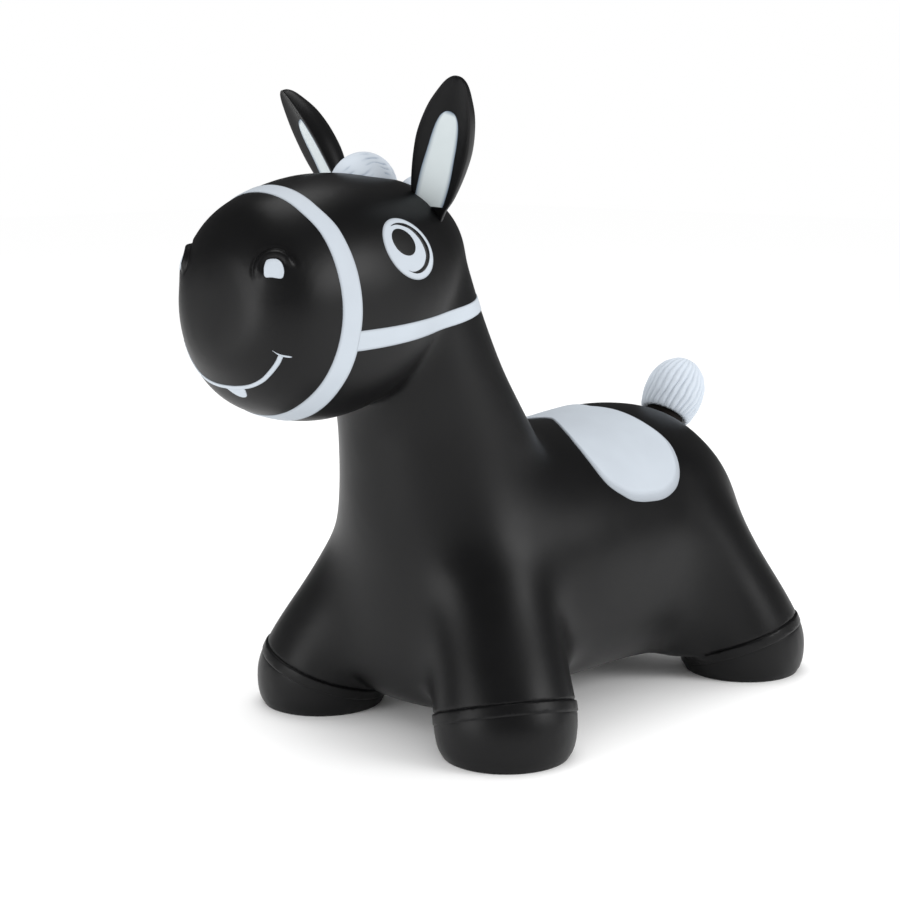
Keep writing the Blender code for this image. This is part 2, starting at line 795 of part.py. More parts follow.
def make_saddle(form, parts, cutters):
    flap_at = on_torso(SADDLE_ALONG_SHARE, SADDLE_FLAP_SHARE)
    across = Vector((1, 0, 0))
    half = SADDLE_LENGTH / 2
    cut = rod("saddle_cut", flap_at, across, TORSO_WIDTH, half, SADDLE_FLAP_DROP, 0, cutters)
    low = flap_at - Vector((TORSO_WIDTH, half, 0))
    high = flap_at + Vector((TORSO_WIDTH, half, BACK_HEIGHT - BELLY_HEIGHT))
    boolean(cut, "UNION", block("saddle_top", low, high, Euler(), cutters))
    front_at = on_torso(SADDLE_FRONT_SHARE, 1) - Vector((0, SADDLE_FRONT_RADIUS, 0))
    scoop = rod(
        "saddle_scoop", front_at, Vector((0, 0, 1)), BACK_HEIGHT,
        SADDLE_FRONT_RADIUS, SADDLE_FRONT_RADIUS, 0, cutters,
    )
    painted("saddle_patch", form, boolean(cut, "DIFFERENCE", scoop), SADDLE_THICKNESS, WHITE, parts)


def make_tufts(form, parts, cutters):
    """Forelock and mane tuft: rounded lumps that lie on the head."""
    clear = grown(form, "tuft_clear", GAP, cutters)
    for name, shares, half in (
        ("forelock", FORELOCK_SHARES, FORELOCK_HALF),
        ("mane_tuft", TUFT_SHARES, TUFT_HALF),
    ):
        tuft = add_object(name, lump(name, on_head(shares), half), parts)
        finish(boolean(tuft, "DIFFERENCE", clear), WHITE)
    room = lump("forelock_room", on_head(FORELOCK_SHARES), FORELOCK_HALF + Vector((GAP, GAP, GAP)))
    boolean(bpy.data.objects["mane_tuft"], "DIFFERENCE", helper("forelock_room", room, cutters))


def lump(name, centre, half):
    bm = bmesh.new()
    bmesh.ops.create_uvsphere(
        bm,
        u_segments=TUFT_POINTS,
        v_segments=TUFT_POINTS // 2,
        radius=1,
        matrix=Matrix.Translation(centre) @ Matrix.Diagonal((*half, 1)),
    )
    return mesh_of(name, bm)


def ear_ring(height, half_width, thick):
    """One section of the cup: a round back, wider than the dished front inside its lips."""
    ring = []
    for k in range(EAR_POINTS):
        turn = math.tau * k / EAR_POINTS
        bulge = abs(math.sin(turn))
        across = math.cos(turn) * half_width
        if math.sin(turn) >= 0:
            ring.append((across * (1 + EAR_FLARE_SHARE * bulge), bulge * thick, height))
        else:
            y = (EAR_DISH_SHARE * bulge**2 - EAR_LIP_SHARE * bulge) * thick
            ring.append((across, y, height))
    return ring


def ear_leaf(side):
    bm = bmesh.new()
    rings = []
    for along, width, deep in smooth_rows(EAR_SHARES, EAR_STEPS):
        rings.append(ear_ring(along * EAR_LENGTH, width * EAR_WIDTH / 2, deep * EAR_THICKNESS))
    loft(bm, rings)
    bmesh.ops.transform(bm, matrix=ear_frame(side), verts=bm.verts)
    return mesh_of("ear_leaf", bm)


def ear_depth(along):
    """The depth share of the ear's back at a place along the ear."""
    for (low, _, near), (high, _, far) in zip(EAR_SHARES, EAR_SHARES[1:]):
        if along <= high:
            return near + (far - near) * (along - low) / (high - low)
    return far


def lining_cut(name, side, cutters):
    bm = bmesh.new()
    rings = []
    span = LINING_TOP_SHARE - LINING_FOOT_SHARE
    for along, width, _ in smooth_rows(EAR_SHARES, EAR_STEPS):
        place = LINING_FOOT_SHARE + span * along
        height = place * EAR_LENGTH
        half = width * LINING_SHARE * EAR_WIDTH / 2
        near, far = -EAR_THICKNESS, EAR_THICKNESS * LINING_DEPTH_SHARE * ear_depth(place)
        rings.append([(half, near, height), (half, far, height), (-half, far, height), (-half, near, height)])
    loft(bm, rings)
    bmesh.ops.transform(bm, matrix=ear_frame(side), verts=bm.verts)
    return helper(name, mesh_of(name, bm), cutters)


def make_ears(form, parts, cutters):
    """The cup stops just short of the head, so that the ear can rock on its ball root."""
    clear = grown(form, "ear_clear", EAR_RELIEF, cutters)
    for word, side in SIDES:
        ear = add_object(f"{word}_ear", ear_leaf(side), parts)
        boolean(ear, "DIFFERENCE", clear)
        lining = lining_cut(f"{word}_lining_cut", side, cutters)
        painted(f"{word}_ear_lining", ear, lining, PAINT, WHITE, parts)
        root = ball(f"{word}_ear_root", ear_root(side), EAR_ROOT_RADIUS, BALL_POINTS, cutters)
        boolean(ear, "UNION", root)
        finish(ear, BLACK)


def turned(name, profile, points, frame):
    """Revolves (radius, height) points, given from the bottom of the axis to its top."""
    bm = bmesh.new()
    rings = []
    for radius, height in profile:
        rings.append([
            (radius * math.cos(math.tau * k / points), radius * math.sin(math.tau * k / points), height)
            for k in range(points)
        ])
    loft(bm, rings)
    bmesh.ops.transform(bm, matrix=frame, verts=bm.verts)
    return mesh_of(name, bm)


def tuft_ring(height, radius, wave):
    points = RIB_COUNT * RIB_POINTS
    ring = []
    for k in range(points):
        turn = math.tau * k / points
        reach = radius + wave * math.cos(RIB_COUNT * turn)
        ring.append((reach * math.cos(turn), reach * math.sin(turn), height))
    return ring


def tuft_mesh(frame):
    bm = bmesh.new()
    rings = []
    for along, full in smooth_rows(TAIL_SHARES, TAIL_STEPS):
        height = TAIL_TUFT_FOOT + along * TAIL_TUFT_LENGTH
        rings.append(tuft_ring(height, full * TAIL_TUFT_RADIUS, full * RIB_DEPTH))
    loft(bm, rings)
    bmesh.ops.transform(bm, matrix=frame, verts=bm.verts)
    return mesh_of("tail_tuft", bm)


def make_tail(form, parts, cutters):
    frame = tail_frame()
    tuft = add_object("tail_tuft", tuft_mesh(frame), parts)
    profile = ((COLLAR_RADIUS, COLLAR_FOOT), (COLLAR_RADIUS, COLLAR_TOP))
    collar = add_object("tail_collar", turned("tail_collar", profile, ROUND_POINTS, frame), parts)
    wider = COLLAR_RADIUS + GAP
    profile = ((wider, COLLAR_FOOT), (wider, COLLAR_TOP + GAP))
    hole = helper("collar_hole", turned("collar_hole", profile, ROUND_POINTS, frame), cutters)
    clear = grown(form, "tail_clear", TAIL_RELIEF, cutters)
    boolean(tuft, "DIFFERENCE", hole)
    boolean(tuft, "DIFFERENCE", clear)
    boolean(collar, "DIFFERENCE", clear)
    root = ball("tail_root", on_torso(*TAIL_ROOT_SHARES), TAIL_ROOT_RADIUS, BALL_POINTS, cutters)
    boolean(collar, "UNION", root)
    boolean(tuft, "DIFFERENCE", helper("tuft_hollow", tuft_hollow(frame), cutters))
    finish(tuft, WHITE)
    finish(collar, DARK, 0.9)


def tuft_hollow(frame):
    """The air space in the tuft. It opens into the hole that the collar fills."""
    profile = [(COLLAR_RADIUS - TAIL_TUFT_WALL, COLLAR_TOP)]
    foot = COLLAR_TOP + GAP + TAIL_TUFT_WALL
    length = TAIL_TUFT_FOOT + TAIL_TUFT_LENGTH - TAIL_TUFT_WALL - foot
    for along, full in TAIL_SHARES[1:-1]:
        profile.append((full * TAIL_TUFT_RADIUS - TAIL_TUFT_WALL, foot + along * length))
    return turned("tuft_hollow", profile, BALL_POINTS, frame)


def make_plug(parts):
    """A push-in plug: a flat head in its recess, a stem and a slightly wider barb."""
    head_low = BELLY_HEIGHT + PLUG_RECESS - GAP - PLUG_HEAD_THICKNESS
    head_high = BELLY_HEIGHT + PLUG_RECESS - GAP
    top = head_high + PLUG_STEM_LENGTH
    chamfer = PLUG_BARB_RADIUS - PLUG_STEM_RADIUS
    profile = (
        (PLUG_HEAD_RADIUS, head_low),
        (PLUG_HEAD_RADIUS, head_high),
        (PLUG_STEM_RADIUS, head_high),
        (PLUG_STEM_RADIUS, top - PLUG_BARB_RADIUS),
        (PLUG_BARB_RADIUS, top - PLUG_BARB_RADIUS + chamfer),
        (PLUG_BARB_RADIUS, top - chamfer),
        (PLUG_STEM_RADIUS, top),
    )
    foot = on_torso(VALVE_SHARE, 0)
    mesh = turned("valve_plug", profile, ROUND_POINTS, Matrix.Translation((0, foot.y, 0)))
    return finish(add_object("valve_plug", mesh, parts), BLACK)


def pivot(name, place, parent, children):
    """An empty on a joint's axis that carries the pieces of one body."""
    empty = add_object(name, None, parent.users_collection[0])
    empty.location = place
    empty.parent = parent
    for child in children:
        child.parent = empty
        child.matrix_parent_inverse = Matrix.Translation(-place)
    return empty


def assemble(parts):
    """Hangs each piece on its joint and puts the horse's middle over the origin."""
    pieces = {obj.name: obj for obj in parts.objects}
    ys = [vertex.co.y for obj in pieces.values() for vertex in obj.data.vertices]
    root = add_object("horse", None, parts)
    root.location.y = -(min(ys) + max(ys)) / 2
    moving = {
        "left_ear_pivot": (ear_root(1), ("left_ear", "left_ear_lining")),
        "right_ear_pivot": (ear_root(-1), ("right_ear", "right_ear_lining")),
        "tail_pivot": (on_torso(*TAIL_ROOT_SHARES), ("tail_collar", "tail_tuft")),
        "plug_pivot": (on_torso(VALVE_SHARE, 0), ("valve_plug",)),
    }
    for name, (place, names) in moving.items():
        pivot(name, place, root, [pieces.pop(piece) for piece in names])
    planted = [obj for name, obj in pieces.items() if name.endswith(("_hoof", "_leg"))]
    sprung = [obj for obj in pieces.values() if obj not in planted]
    pivot("feet_pivot", Vector(), root, planted)
    pivot("bounce_pivot", Vector((0, 0, BELLY_HEIGHT)), root, sprung)


def main():
    clear_scene()
    parts = new_collection("bouncy_ride_on_horse")
    cutters = new_collection("cutters")
    form = skin_form(cutters)
    air = cavity(form, cutters)
    make_skin(form, air, parts, cutters)
    make_hooves(form, air, parts, cutters)
    make_halter(form, parts, cutters)
    make_eyes(form, parts, cutters)
    make_nostrils(form, parts, cutters)
    make_mouth(form, parts, cutters)
    make_saddle(form, parts, cutters)
    make_tufts(form, parts, cutters)
    make_ears(form, parts, cutters)
    make_tail(form, parts, cutters)
    make_plug(parts)
    assemble(parts)


main()
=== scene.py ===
import json
import math

import bmesh
import bpy
import numpy as np
from bpy.props import FloatProperty, FloatVectorProperty, IntProperty, PointerProperty, StringProperty
from bpy.types import Operator, Panel, PropertyGroup
from mathutils import Matrix, Vector, noise
from mathutils.bvhtree import BVHTree


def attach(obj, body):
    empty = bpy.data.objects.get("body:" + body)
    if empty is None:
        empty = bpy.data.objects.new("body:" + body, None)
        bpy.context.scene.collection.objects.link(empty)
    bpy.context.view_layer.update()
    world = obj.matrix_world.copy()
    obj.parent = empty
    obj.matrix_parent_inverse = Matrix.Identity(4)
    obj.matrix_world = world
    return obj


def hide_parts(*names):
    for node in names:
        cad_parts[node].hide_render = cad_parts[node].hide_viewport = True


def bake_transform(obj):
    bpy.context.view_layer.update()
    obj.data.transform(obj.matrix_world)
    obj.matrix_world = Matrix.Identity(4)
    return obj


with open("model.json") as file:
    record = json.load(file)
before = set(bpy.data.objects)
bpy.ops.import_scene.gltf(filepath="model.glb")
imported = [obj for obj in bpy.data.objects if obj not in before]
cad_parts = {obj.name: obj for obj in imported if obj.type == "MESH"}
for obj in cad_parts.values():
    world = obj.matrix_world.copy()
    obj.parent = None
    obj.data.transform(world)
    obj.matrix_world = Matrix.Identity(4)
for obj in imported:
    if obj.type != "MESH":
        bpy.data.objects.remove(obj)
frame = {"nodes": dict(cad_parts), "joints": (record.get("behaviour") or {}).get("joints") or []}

bl_info = {
    "name": "Bouncy Ride-on Horse",
    "version": (1, 1, 0),
    "blender": (4, 5, 0),
    "location": "View3D > Sidebar > Bouncy Horse",
    "description": "Builds an inflatable ride-on horse of black vinyl with a painted halter, face and saddle",
    "category": "Add Mesh",
}

SIDES = (("left", 1), ("right", -1))
UP = Vector((0, 0, 1))
RING_POINTS = 64
ROW_STEPS = 6
made = {}

# along the length, belly line, back line, half width
TORSO_SHARES = (
    (0.00, 0.38, 0.66, 0.15), (0.03, 0.08, 0.87, 0.58), (0.14, -0.02, 0.97, 0.88),
    (0.36, 0.00, 0.98, 1.00), (0.57, 0.00, 0.99, 1.03), (0.74, -0.015, 1.005, 1.01),
    (0.89, 0.03, 0.95, 0.92), (0.985, 0.28, 0.79, 0.66), (1.01, 0.36, 0.64, 0.30),
)
# up the rise, front and back as shares of the reach, half width
NECK_SHARES = (
    (0.00, -0.70, 0.31, 0.97), (0.18, -0.75, 0.34, 1.00), (0.384, -0.772, 0.26, 0.886),
    (0.52, -0.788, 0.12, 0.83), (0.672, -0.862, -0.037, 0.784), (0.84, -0.937, -0.162, 0.739),
    (1.00, -1.00, -0.25, 0.682),
)
# along the length, jaw line, crown line, half width
HEAD_SHARES = (
    (0.00, 0.32, 0.62, 0.16), (0.026, 0.235, 0.74, 0.58), (0.126, 0.080, 0.90, 0.875),
    (0.35, 0.00, 0.994, 0.993), (0.585, 0.039, 1.00, 1.00), (0.80, 0.183, 0.956, 0.84),
    (0.966, 0.386, 0.836, 0.48), (1.00, 0.56, 0.66, 0.12),
)
# up the leg, of the way to the hip, of the radius
LEG_SHARES = (
    (-0.044, 0.00, 0.80), (0.022, 0.00, 0.95), (0.10, 0.00, 1.00), (0.25, 0.04, 1.02),
    (0.417, 0.24, 1.00), (0.583, 0.49, 1.00), (0.75, 0.74, 1.05), (0.917, 0.93, 1.00),
    (1.11, 1.00, 0.80),
)
# Webs between hooves and belly: the foot and the top of each, out from the middle, aft of the
# hoof's centre, height and radius, as shares of the hoof's offset, radius, hip height and radius
FRONT_WEB_SHARES = (
    ((0.707, 0.468, 0.180, 0.734), (0.295, 1.330, 0.333, 0.826)),
    ((0.707, -0.046, 0.220, 0.660), (0.196, 0.174, 0.289, 0.660)),
    ((0.884, 0.596, 0.167, 0.550), (0.491, 1.789, 0.556, 0.917)),
)
REAR_WEB_SHARES = (
    ((0.727, -0.657, 0.115, 0.771), (0.344, -1.574, 0.333, 0.826)),
    ((0.835, -0.565, 0.167, 0.660), (0.540, -1.758, 0.556, 0.917)),
)
# Legs: hoof's Y, ring height, slope of the ring along Y, hip out and Y, thigh radius, webs
LEG_ENDS = {
    "front": (-0.0775, 0.037, -0.191, (0.030, -0.035), 0.0545, FRONT_WEB_SHARES),
    "rear": (0.2358, 0.034, 0.191, (0.040, 0.175), 0.0632, REAR_WEB_SHARES),
}
RING_SPLAY = 0.319
# heights between which legs, torso and neck melt together, and over which the melt fades
MELT_HEIGHTS = (0.026, 0.060, 0.190, 0.235)
MELT_LEVELS = 50

# Noseband: turn from the crown in degrees, distances of its front and rear edge from its centre
NOSEBAND_CENTRE = Vector((0, -0.2725, 0.348))
NOSEBAND_EDGES = (
    (0, 0.0905, 0.1016), (30, 0.0911, 0.1021), (48, 0.0925, 0.1043), (75, 0.0918, 0.1046),
    (100, 0.0919, 0.1050), (130, 0.0922, 0.1062), (155, 0.0913, 0.1066), (180, 0.0905, 0.1062),
)
# Eye: the dark crescent's outer and inner edge, as (y, z) of the horse's side
CRESCENT = (
    ((-0.1592, 0.4029), (-0.1588, 0.4026)), ((-0.1550, 0.4043), (-0.1560, 0.4031)),
    ((-0.1497, 0.4047), (-0.1518, 0.4031)), ((-0.1434, 0.4037), (-0.1449, 0.4013)),
    ((-0.1379, 0.4012), (-0.1396, 0.3982)), ((-0.1327, 0.3975), (-0.1350, 0.3930)),
    ((-0.1289, 0.3927), (-0.1330, 0.3890)), ((-0.1262, 0.3872), (-0.1319, 0.3850)),
    ((-0.1259, 0.3817), (-0.1316, 0.3812)), ((-0.1277, 0.3768), (-0.1329, 0.3779)),
    ((-0.1315, 0.3724), (-0.1362, 0.3738)), ((-0.1370, 0.3692), (-0.1409, 0.3714)),
    ((-0.1432, 0.3684), (-0.1460, 0.3703)), ((-0.1480, 0.3695), (-0.1495, 0.3705)),
    ((-0.1521, 0.3711), (-0.1519, 0.3713)),
)
# Smile: out from the middle and height
SMILE = (
    (0.0000, 0.2914), (0.0110, 0.2919), (0.0233, 0.2941), (0.0340, 0.2988), (0.0420, 0.3052),
    (0.0480, 0.3118), (0.0514, 0.3173),
)
# The small crease across each corner of the smile: out, height, width share
SMILE_CORNER = (
    (0.0478, 0.3212, 0.10), (0.0492, 0.3196, 0.35), (0.0510, 0.3181, 0.80), (0.0532, 0.3171, 1.00),
    (0.0552, 0.3166, 0.90), (0.0562, 0.3165, 0.30),
)
# Tooth and nostril patch, as (across, up) from their middle
TOOTH = (
    (-0.0107, 0.0012), (-0.0078, -0.0018), (-0.0046, -0.0041), (-0.0012, -0.0055), (0.0024, -0.0059),
    (0.0054, -0.0051), (0.0072, -0.0030), (0.0080, 0.0012), (0.0030, 0.0009), (-0.0050, 0.0008),
)
NOSTRIL_PATCH = (
    (-0.0062, -0.0055), (-0.0015, -0.0061), (0.0050, -0.0068), (0.0068, -0.0035), (0.0065, 0.0005),
    (0.0049, 0.0044), (0.0022, 0.0067), (-0.0015, 0.0072), (-0.0047, 0.0065), (-0.0062, 0.0043),
    (-0.0070, -0.0002),
)
NOSTRIL_CENTRE = Vector((0.0475, -0.256, 0.3765))
NOSTRIL_FACING = Vector((0.67, -0.69, 0.30))
# Saddle's edge on the left half: turn about the barrel from straight up, y
SADDLE_EDGE = (
    (0.000, 0.1475), (0.120, 0.1512), (0.257, 0.1545), (0.428, 0.1570), (0.553, 0.1590),
    (0.720, 0.1625), (0.860, 0.1618), (1.059, 0.1531), (1.174, 0.1430), (1.231, 0.1310),
    (1.256, 0.1177), (1.250, 0.1020), (1.230, 0.0880), (1.185, 0.0765), (1.041, 0.0610),
    (0.834, 0.0575), (0.613, 0.0608), (0.470, 0.0660), (0.330, 0.0725), (0.170, 0.0822),
    (0.060, 0.0890), (0.000, 0.0902),
)
BARREL_AXIS_HEIGHT = 0.135

# Ears: root, the left one's tip, and along the ear its half width and the depth of its back
EAR_ROOT = Vector((0.0449, -0.1026, 0.4110))
EAR_TIP = Vector((0.0940, -0.1220, 0.5080))
EAR_DROPS = {"left": 0.0, "right": 0.008}
EAR_SHARES = (
    (-0.10, 0.56, 0.36), (0.04, 0.66, 0.42), (0.14, 0.82, 0.58), (0.26, 0.93, 0.79),
    (0.38, 1.00, 0.92), (0.50, 1.03, 0.95), (0.62, 0.97, 0.93), (0.75, 0.83, 0.83),
    (0.87, 0.60, 0.62), (0.945, 0.41, 0.44), (0.985, 0.23, 0.26), (1.00, 0.04, 0.08),
)
# along the ear, half width of its white lining
LINING = (
    (-0.02, 0.0116), (0.10, 0.0123), (0.20, 0.0126), (0.30, 0.0125), (0.42, 0.0116), (0.53, 0.0108),
    (0.62, 0.0096), (0.68, 0.0079), (0.715, 0.0058), (0.735, 0.0033), (0.742, 0.0),
)
# Tail tuft, from inside its foot round the rim to the tip: how far along the outline, radius, height
TUFT_OUTLINE = (
    (0.00, 0.00, 0.060), (0.08, 0.48, 0.040), (0.14, 0.70, 0.008), (0.18, 0.79, 0.000),
    (0.23, 0.86, 0.030), (0.33, 0.94, 0.150), (0.46, 1.00, 0.340), (0.60, 0.98, 0.540),
    (0.74, 0.84, 0.735), (0.86, 0.58, 0.885), (0.95, 0.26, 0.975), (1.00, 0.00, 0.985),
)

# Places are written from the drawing's own zero. This is where the horse's middle lies from there,
# which the left ear's joint gives, and everything is moved so that it stands over the frame's origin.
ear_joint = next(joint for joint in frame["joints"] if joint["name"] == "left_ear_bend")
MIDDLE = Vector((0, EAR_ROOT.y - ear_joint["pos_m"][1], 0))

# how far a post that cuts out a leg reaches past the hoof
POST_MARGIN = 0.0025
# a face that leans further than this from the skin, as a cosine, is a cut's cap with its own normal
CAP_LIMIT = 0.7
# clearance between a hoof and the part of the belly that sinks past it
HOOF_GAP = 0.0003
NOSTRIL_BUMP_RADIUS = 0.019
NOSTRIL_BUMP_DEPTH = 0.0135
# how far from a nostril the skin is cut finer, and how far its rings reach
NOSTRIL_CUT = 0.021
NOSTRIL_REACH = 0.022
# Rings about a nostril: the turn of their middle, how far from it they are full and where they
# end, in radians, then the lift, radius and width of the dip, the ring and the groove
RING_TOP, RING_FULL, RING_END = 1.9, 1.2, 1.9
NOSTRIL_RINGS = ((-0.0007, 0.0076, 0.0010), (0.0021, 0.0112, 0.0027), (-0.0011, 0.0152, 0.0015))
# Hoof bands: softness and inset of the step, depths and widths of the grooves over and under it,
# how far the cup under it stands out, the height that the rounded sole keeps plain, and how far
# past a hoof's radius all this reaches
BAND_EDGE = 0.0008
BAND_INSET = 0.0006
RING_GROOVE, RING_GROOVE_WIDTH = 0.0010, 0.0007
BAND_GROOVE, BAND_GROOVE_WIDTH = 0.0004, 0.0006
CUP_PROUD = 0.0003
SOLE_ROUNDING = 0.004
BAND_MARGIN = 0.008
# the skin cools unevenly: how far it wanders, how often in a metre, and the height by which it does
UNEVEN = 0.0004
UNEVEN_SCALE = 16
UNEVEN_HEIGHT = 0.02
# how far past a hoof and over its ring the skin is scored, and the heights of the loops there
SCORE_MARGIN = 0.006
SCORE_RISE = 0.035
BAND_LOOPS = (
    -0.0112, -0.0106, -0.0102, -0.0098, -0.0094, -0.0088, -0.0018, -0.0012, -0.0007, -0.0003, 0.0001,
    0.0005, 0.0010, 0.0015,
)
# Painted sheets: rounding of the edge as a share of the half width, how far the top's edge and
# the underside lie in the skin, and how much a print stands over the paint under it
EDGE_ROUNDING = 0.06
SUNK = 0.00005
SHEET_DEPTH = 0.0010
PRINT = 0.0002
# places across a stroke and across the crescent, with their shares of the way to the edge
STROKE_STATIONS = ((-1, 1), (-0.85, 0.97), (-0.5, 0.6), (0, 0), (0.5, 0.6), (0.85, 0.97), (1, 1))
CRESCENT_STATIONS = ((0, 1), (0.1, 0.97), (0.5, 0.5), (0.9, 0.97), (1, 1))
DISC_RINGS = (0.0, 0.3, 0.6, 0.8, 0.9, 0.94, 0.97, 0.985, 0.995, 1.0)
SADDLE_RINGS = (
    0, 0.12, 0.25, 0.4, 0.55, 0.7, 0.8, 0.87, 0.91, 0.93, 0.945, 0.955, 0.965, 0.975, 0.985, 0.993, 1.0
)
NOSEBAND_TURNS = 240
NOSEBAND_SCAN = [-0.262 + step * 0.002 for step in range(60)]
# Strap: first guess of its height, the axis that it turns about, and its height along y as
# the terms of a square about STRAP_LOW_Y
STRAP_START = 0.335
STRAP_AXIS_Y = -0.125
STRAP_LOW_Y = -0.195
STRAP_CURVE = (0.3243, 0.030, 0.52)
# steps along the strap, the turns between which its end is looked for, and how far that overlaps
STRAP_STEPS = 220
STRAP_END_TURNS = (60, 160)
STRAP_OVERLAP = 0.0004
# y, share of the strap's width at the noseband
STRAP_WIDTHS = ((-0.190, 1.0), (-0.140, 0.94), (-0.088, 0.81), (-0.067, 0.74), (-0.040, 0.74))
EYE_CENTRE = (-0.1465, 0.3861)
EYE_TILT = -math.radians(33.2)
PUPIL_CENTRE = (-0.1513, 0.3911)
PUPIL_TILT = -math.radians(28.5)
TOOTH_CENTRE = (0.0085, 0.2904)
CORNER_HALF_WIDTH = 0.0007
# where rays to the skin start: out at the side, in front, off a nostril and off an ear's hollow
SIDE_START = 0.2
FRONT_START = -0.4
NOSTRIL_START = 0.03
LINING_START = 0.03
# paint of the nostrils and the smile's corners, as a share of the other marks' paint
THIN_PAINT = 0.6
# the groove inside the saddle's edge: depth, place and width as shares of the way to the edge
SADDLE_GROOVE = (0.0007, 0.955, 0.010)
EAR_TURNS = {"left": math.radians(13), "right": math.radians(22)}
EAR_POINTS = 72
# Lining: its foot's slant and how far up that reaches, where its top starts to fade and over
# how much of the ear, its thickness, and from which share of the half width the edge is misted
LINING_SLANT = 0.09
LINING_FOOT = 0.25
LINING_FADE = (0.60, 0.142)
LINING_PAINT = 0.0004
LINING_MIST = 0.78
TAIL_ROOT = Vector((0, 0.2440, 0.1994))
TAIL_LEAN = math.radians(37)
# along the collar, radius
COLLAR_PROFILE = ((-0.006, 0.0158), (0.002, 0.0166), (0.0095, 0.0165), (0.0160, 0.0172), (0.0205, 0.0165))
# depth of the tuft's grooves, their lean and waver in radians, and the waver's seed
TUFT_RIBS = {"groove": 0.0018, "twist": 0.5, "waver": 0.3, "seed": 4.0}
# How deep a rib's groove is: across one rib, and along the tuft
GROOVE_PROFILE = (
    (0.0, 1.0), (0.08, 0.80), (0.20, 0.38), (0.35, 0.10), (0.5, 0.0),
    (0.65, 0.10), (0.80, 0.38), (0.92, 0.80), (1.0, 1.0),
)
GROOVE_FADE = ((0.0, 0.0), (0.12, 0.1), (0.20, 0.9), (0.40, 1.0), (0.80, 0.8), (0.93, 0.35), (1.0, 0.0))
# The same for the forelock: from one groove to the next, and from the crest to the flank
LOCK_GROOVE = ((0.0, 1.0), (0.08, 0.5), (0.2, 0.1), (0.5, 0.0), (0.85, 0.2), (0.95, 0.6), (1.0, 1.0))
LOCK_FLANK = ((0.0, 0.0), (0.15, 0.0), (0.45, 1.0), (1.0, 1.0))
# How the forelock's grooves wander, as scale and reach, and break off, as scale, from and to
LOCK_DRIFT = (1.6, 0.35)
LOCK_BREAKS = (3.1, 0.42, 0.58)
# Forelock and mane tuft: centre, half sizes, grooves per half height, arch, depth share, seed
HAIR_LUMPS = (
    ("forelock_hair", "forelock", (0, -0.1245, 0.427), (0.020, 0.0305, 0.0275), 8.0, 0.45, 0.022, 1.0),
    ("mane_hair", "mane_tuft", (0, -0.066, 0.414), (0.014, 0.022, 0.022), 4.0, 0.6, 0.035, 2.0),
)
# name, place, size, power
SOFTBOXES = (
    ("key_softbox", (-0.35, -2.0, 0.5), 1.1, 15),
    ("side_softbox", (1.9, 0.7, 1.0), 1.0, 21),
    ("top_softbox", (-0.4, 0.3, 2.4), 1.2, 12),
)
# the photograph's middle lies this much off the lens axis, as shares of the picture's width
CAMERA_SHIFT = ((450 - 476) / 900, -(450 - 402) / 900)


def length(name, value, description):
    return FloatProperty(name=name, default=value, description=description, unit="LENGTH", precision=4)


def colour(name, value, description):
    return StringProperty(name=name, default=value, description=description)


class HorseSkin(PropertyGroup):
    """Sizes of the air-filled skin"""
    voxel: length("Voxel", 0.003, "Grid on which the lofts are melted together")
    melting: IntProperty(
        name="Melting", default=338, description="Smoothing turns where legs and torso melt",
    )
    easing: IntProperty(name="Easing", default=36, description="Smoothing turns all over, after the melt")
    chest_y: length("Chest", -0.1125, "Front of the chest")
    torso_length: length("Torso length", 0.385, "From the chest to the rump")
    torso_width: length("Torso width", 0.216, "Widest part of the barrel")
    belly: length("Belly height", 0.018, "Lowest line of the belly")
    back: length("Back height", 0.231, "Highest line of the back")
    neck_foot: length("Neck foot", 0.120, "Height at which the neck starts inside the torso")
    neck_rise: length("Neck rise", 0.250, "From the neck's foot to inside the head")
    neck_reach: length("Neck reach", 0.160, "Scale of the neck's front and back lines")
    neck_width: length("Neck width", 0.176, "Width at the shoulders")
    muzzle_y: length("Muzzle", -0.272, "Front of the muzzle")
    head_length: length("Head length", 0.229, "From the muzzle to the nape")
    head_width: length("Head width", 0.150, "Widest part of the head")
    jaw: length("Jaw height", 0.259, "Lowest line of the jaw")
    head_depth: length("Head depth", 0.180, "From the jaw to the crown")
    hoof_out: length("Hoof offset", 0.1018, "From the middle to a hoof's centre")
    hoof_radius: length("Hoof radius", 0.0545, "Radius of a hoof")
    hip_height: length("Hip height", 0.180, "Height at which the thighs end inside the torso")
    band: length("Hoof band", 0.0098, "Height of the moulded band at the top of a hoof")
    band_proud: length("Band step", 0.0010, "How far the band stands out")
    sleeve: length("Soft leg", 0.030, "Height of the part of the leg that squashes")
    vinyl: colour("Vinyl", "#0D0D0E", "Colour of the black vinyl")


class HorseMarks(PropertyGroup):
    """Sizes of the painted halter, face and saddle"""
    paint: length("Paint", 0.0006, "How far a painted zone stands out")
    strap_width: length("Strap width", 0.0146, "Width of the cheek strap at the noseband")
    eye_length: length("Eye length", 0.0516, "Long axis of the eye")
    eye_width: length("Eye width", 0.0406, "Short axis of the eye")
    pupil_length: length("Pupil length", 0.0234, "Long axis of the pupil")
    pupil_width: length("Pupil width", 0.0182, "Short axis of the pupil")
    smile_line: length("Smile line", 0.0026, "Width of the smile")
    saddle_step: length("Saddle step", 0.0012, "How far the saddle stands out")
    white: colour("White", "#B0B8C0", "Colour of the white paint")
    ear_white: colour("Ear white", "#C3CBCD", "Colour of the ears' linings")
    # the groove tint is painted shade: blue-grey laid into the moulded hair's grooves by their depth
    shadow: colour("Groove tint", "#8090A4", "Colour of the thin paint in the moulded grooves")
    mist: colour("Mist tint", "#5E6E80", "Colour of the ear lining's misted edge")


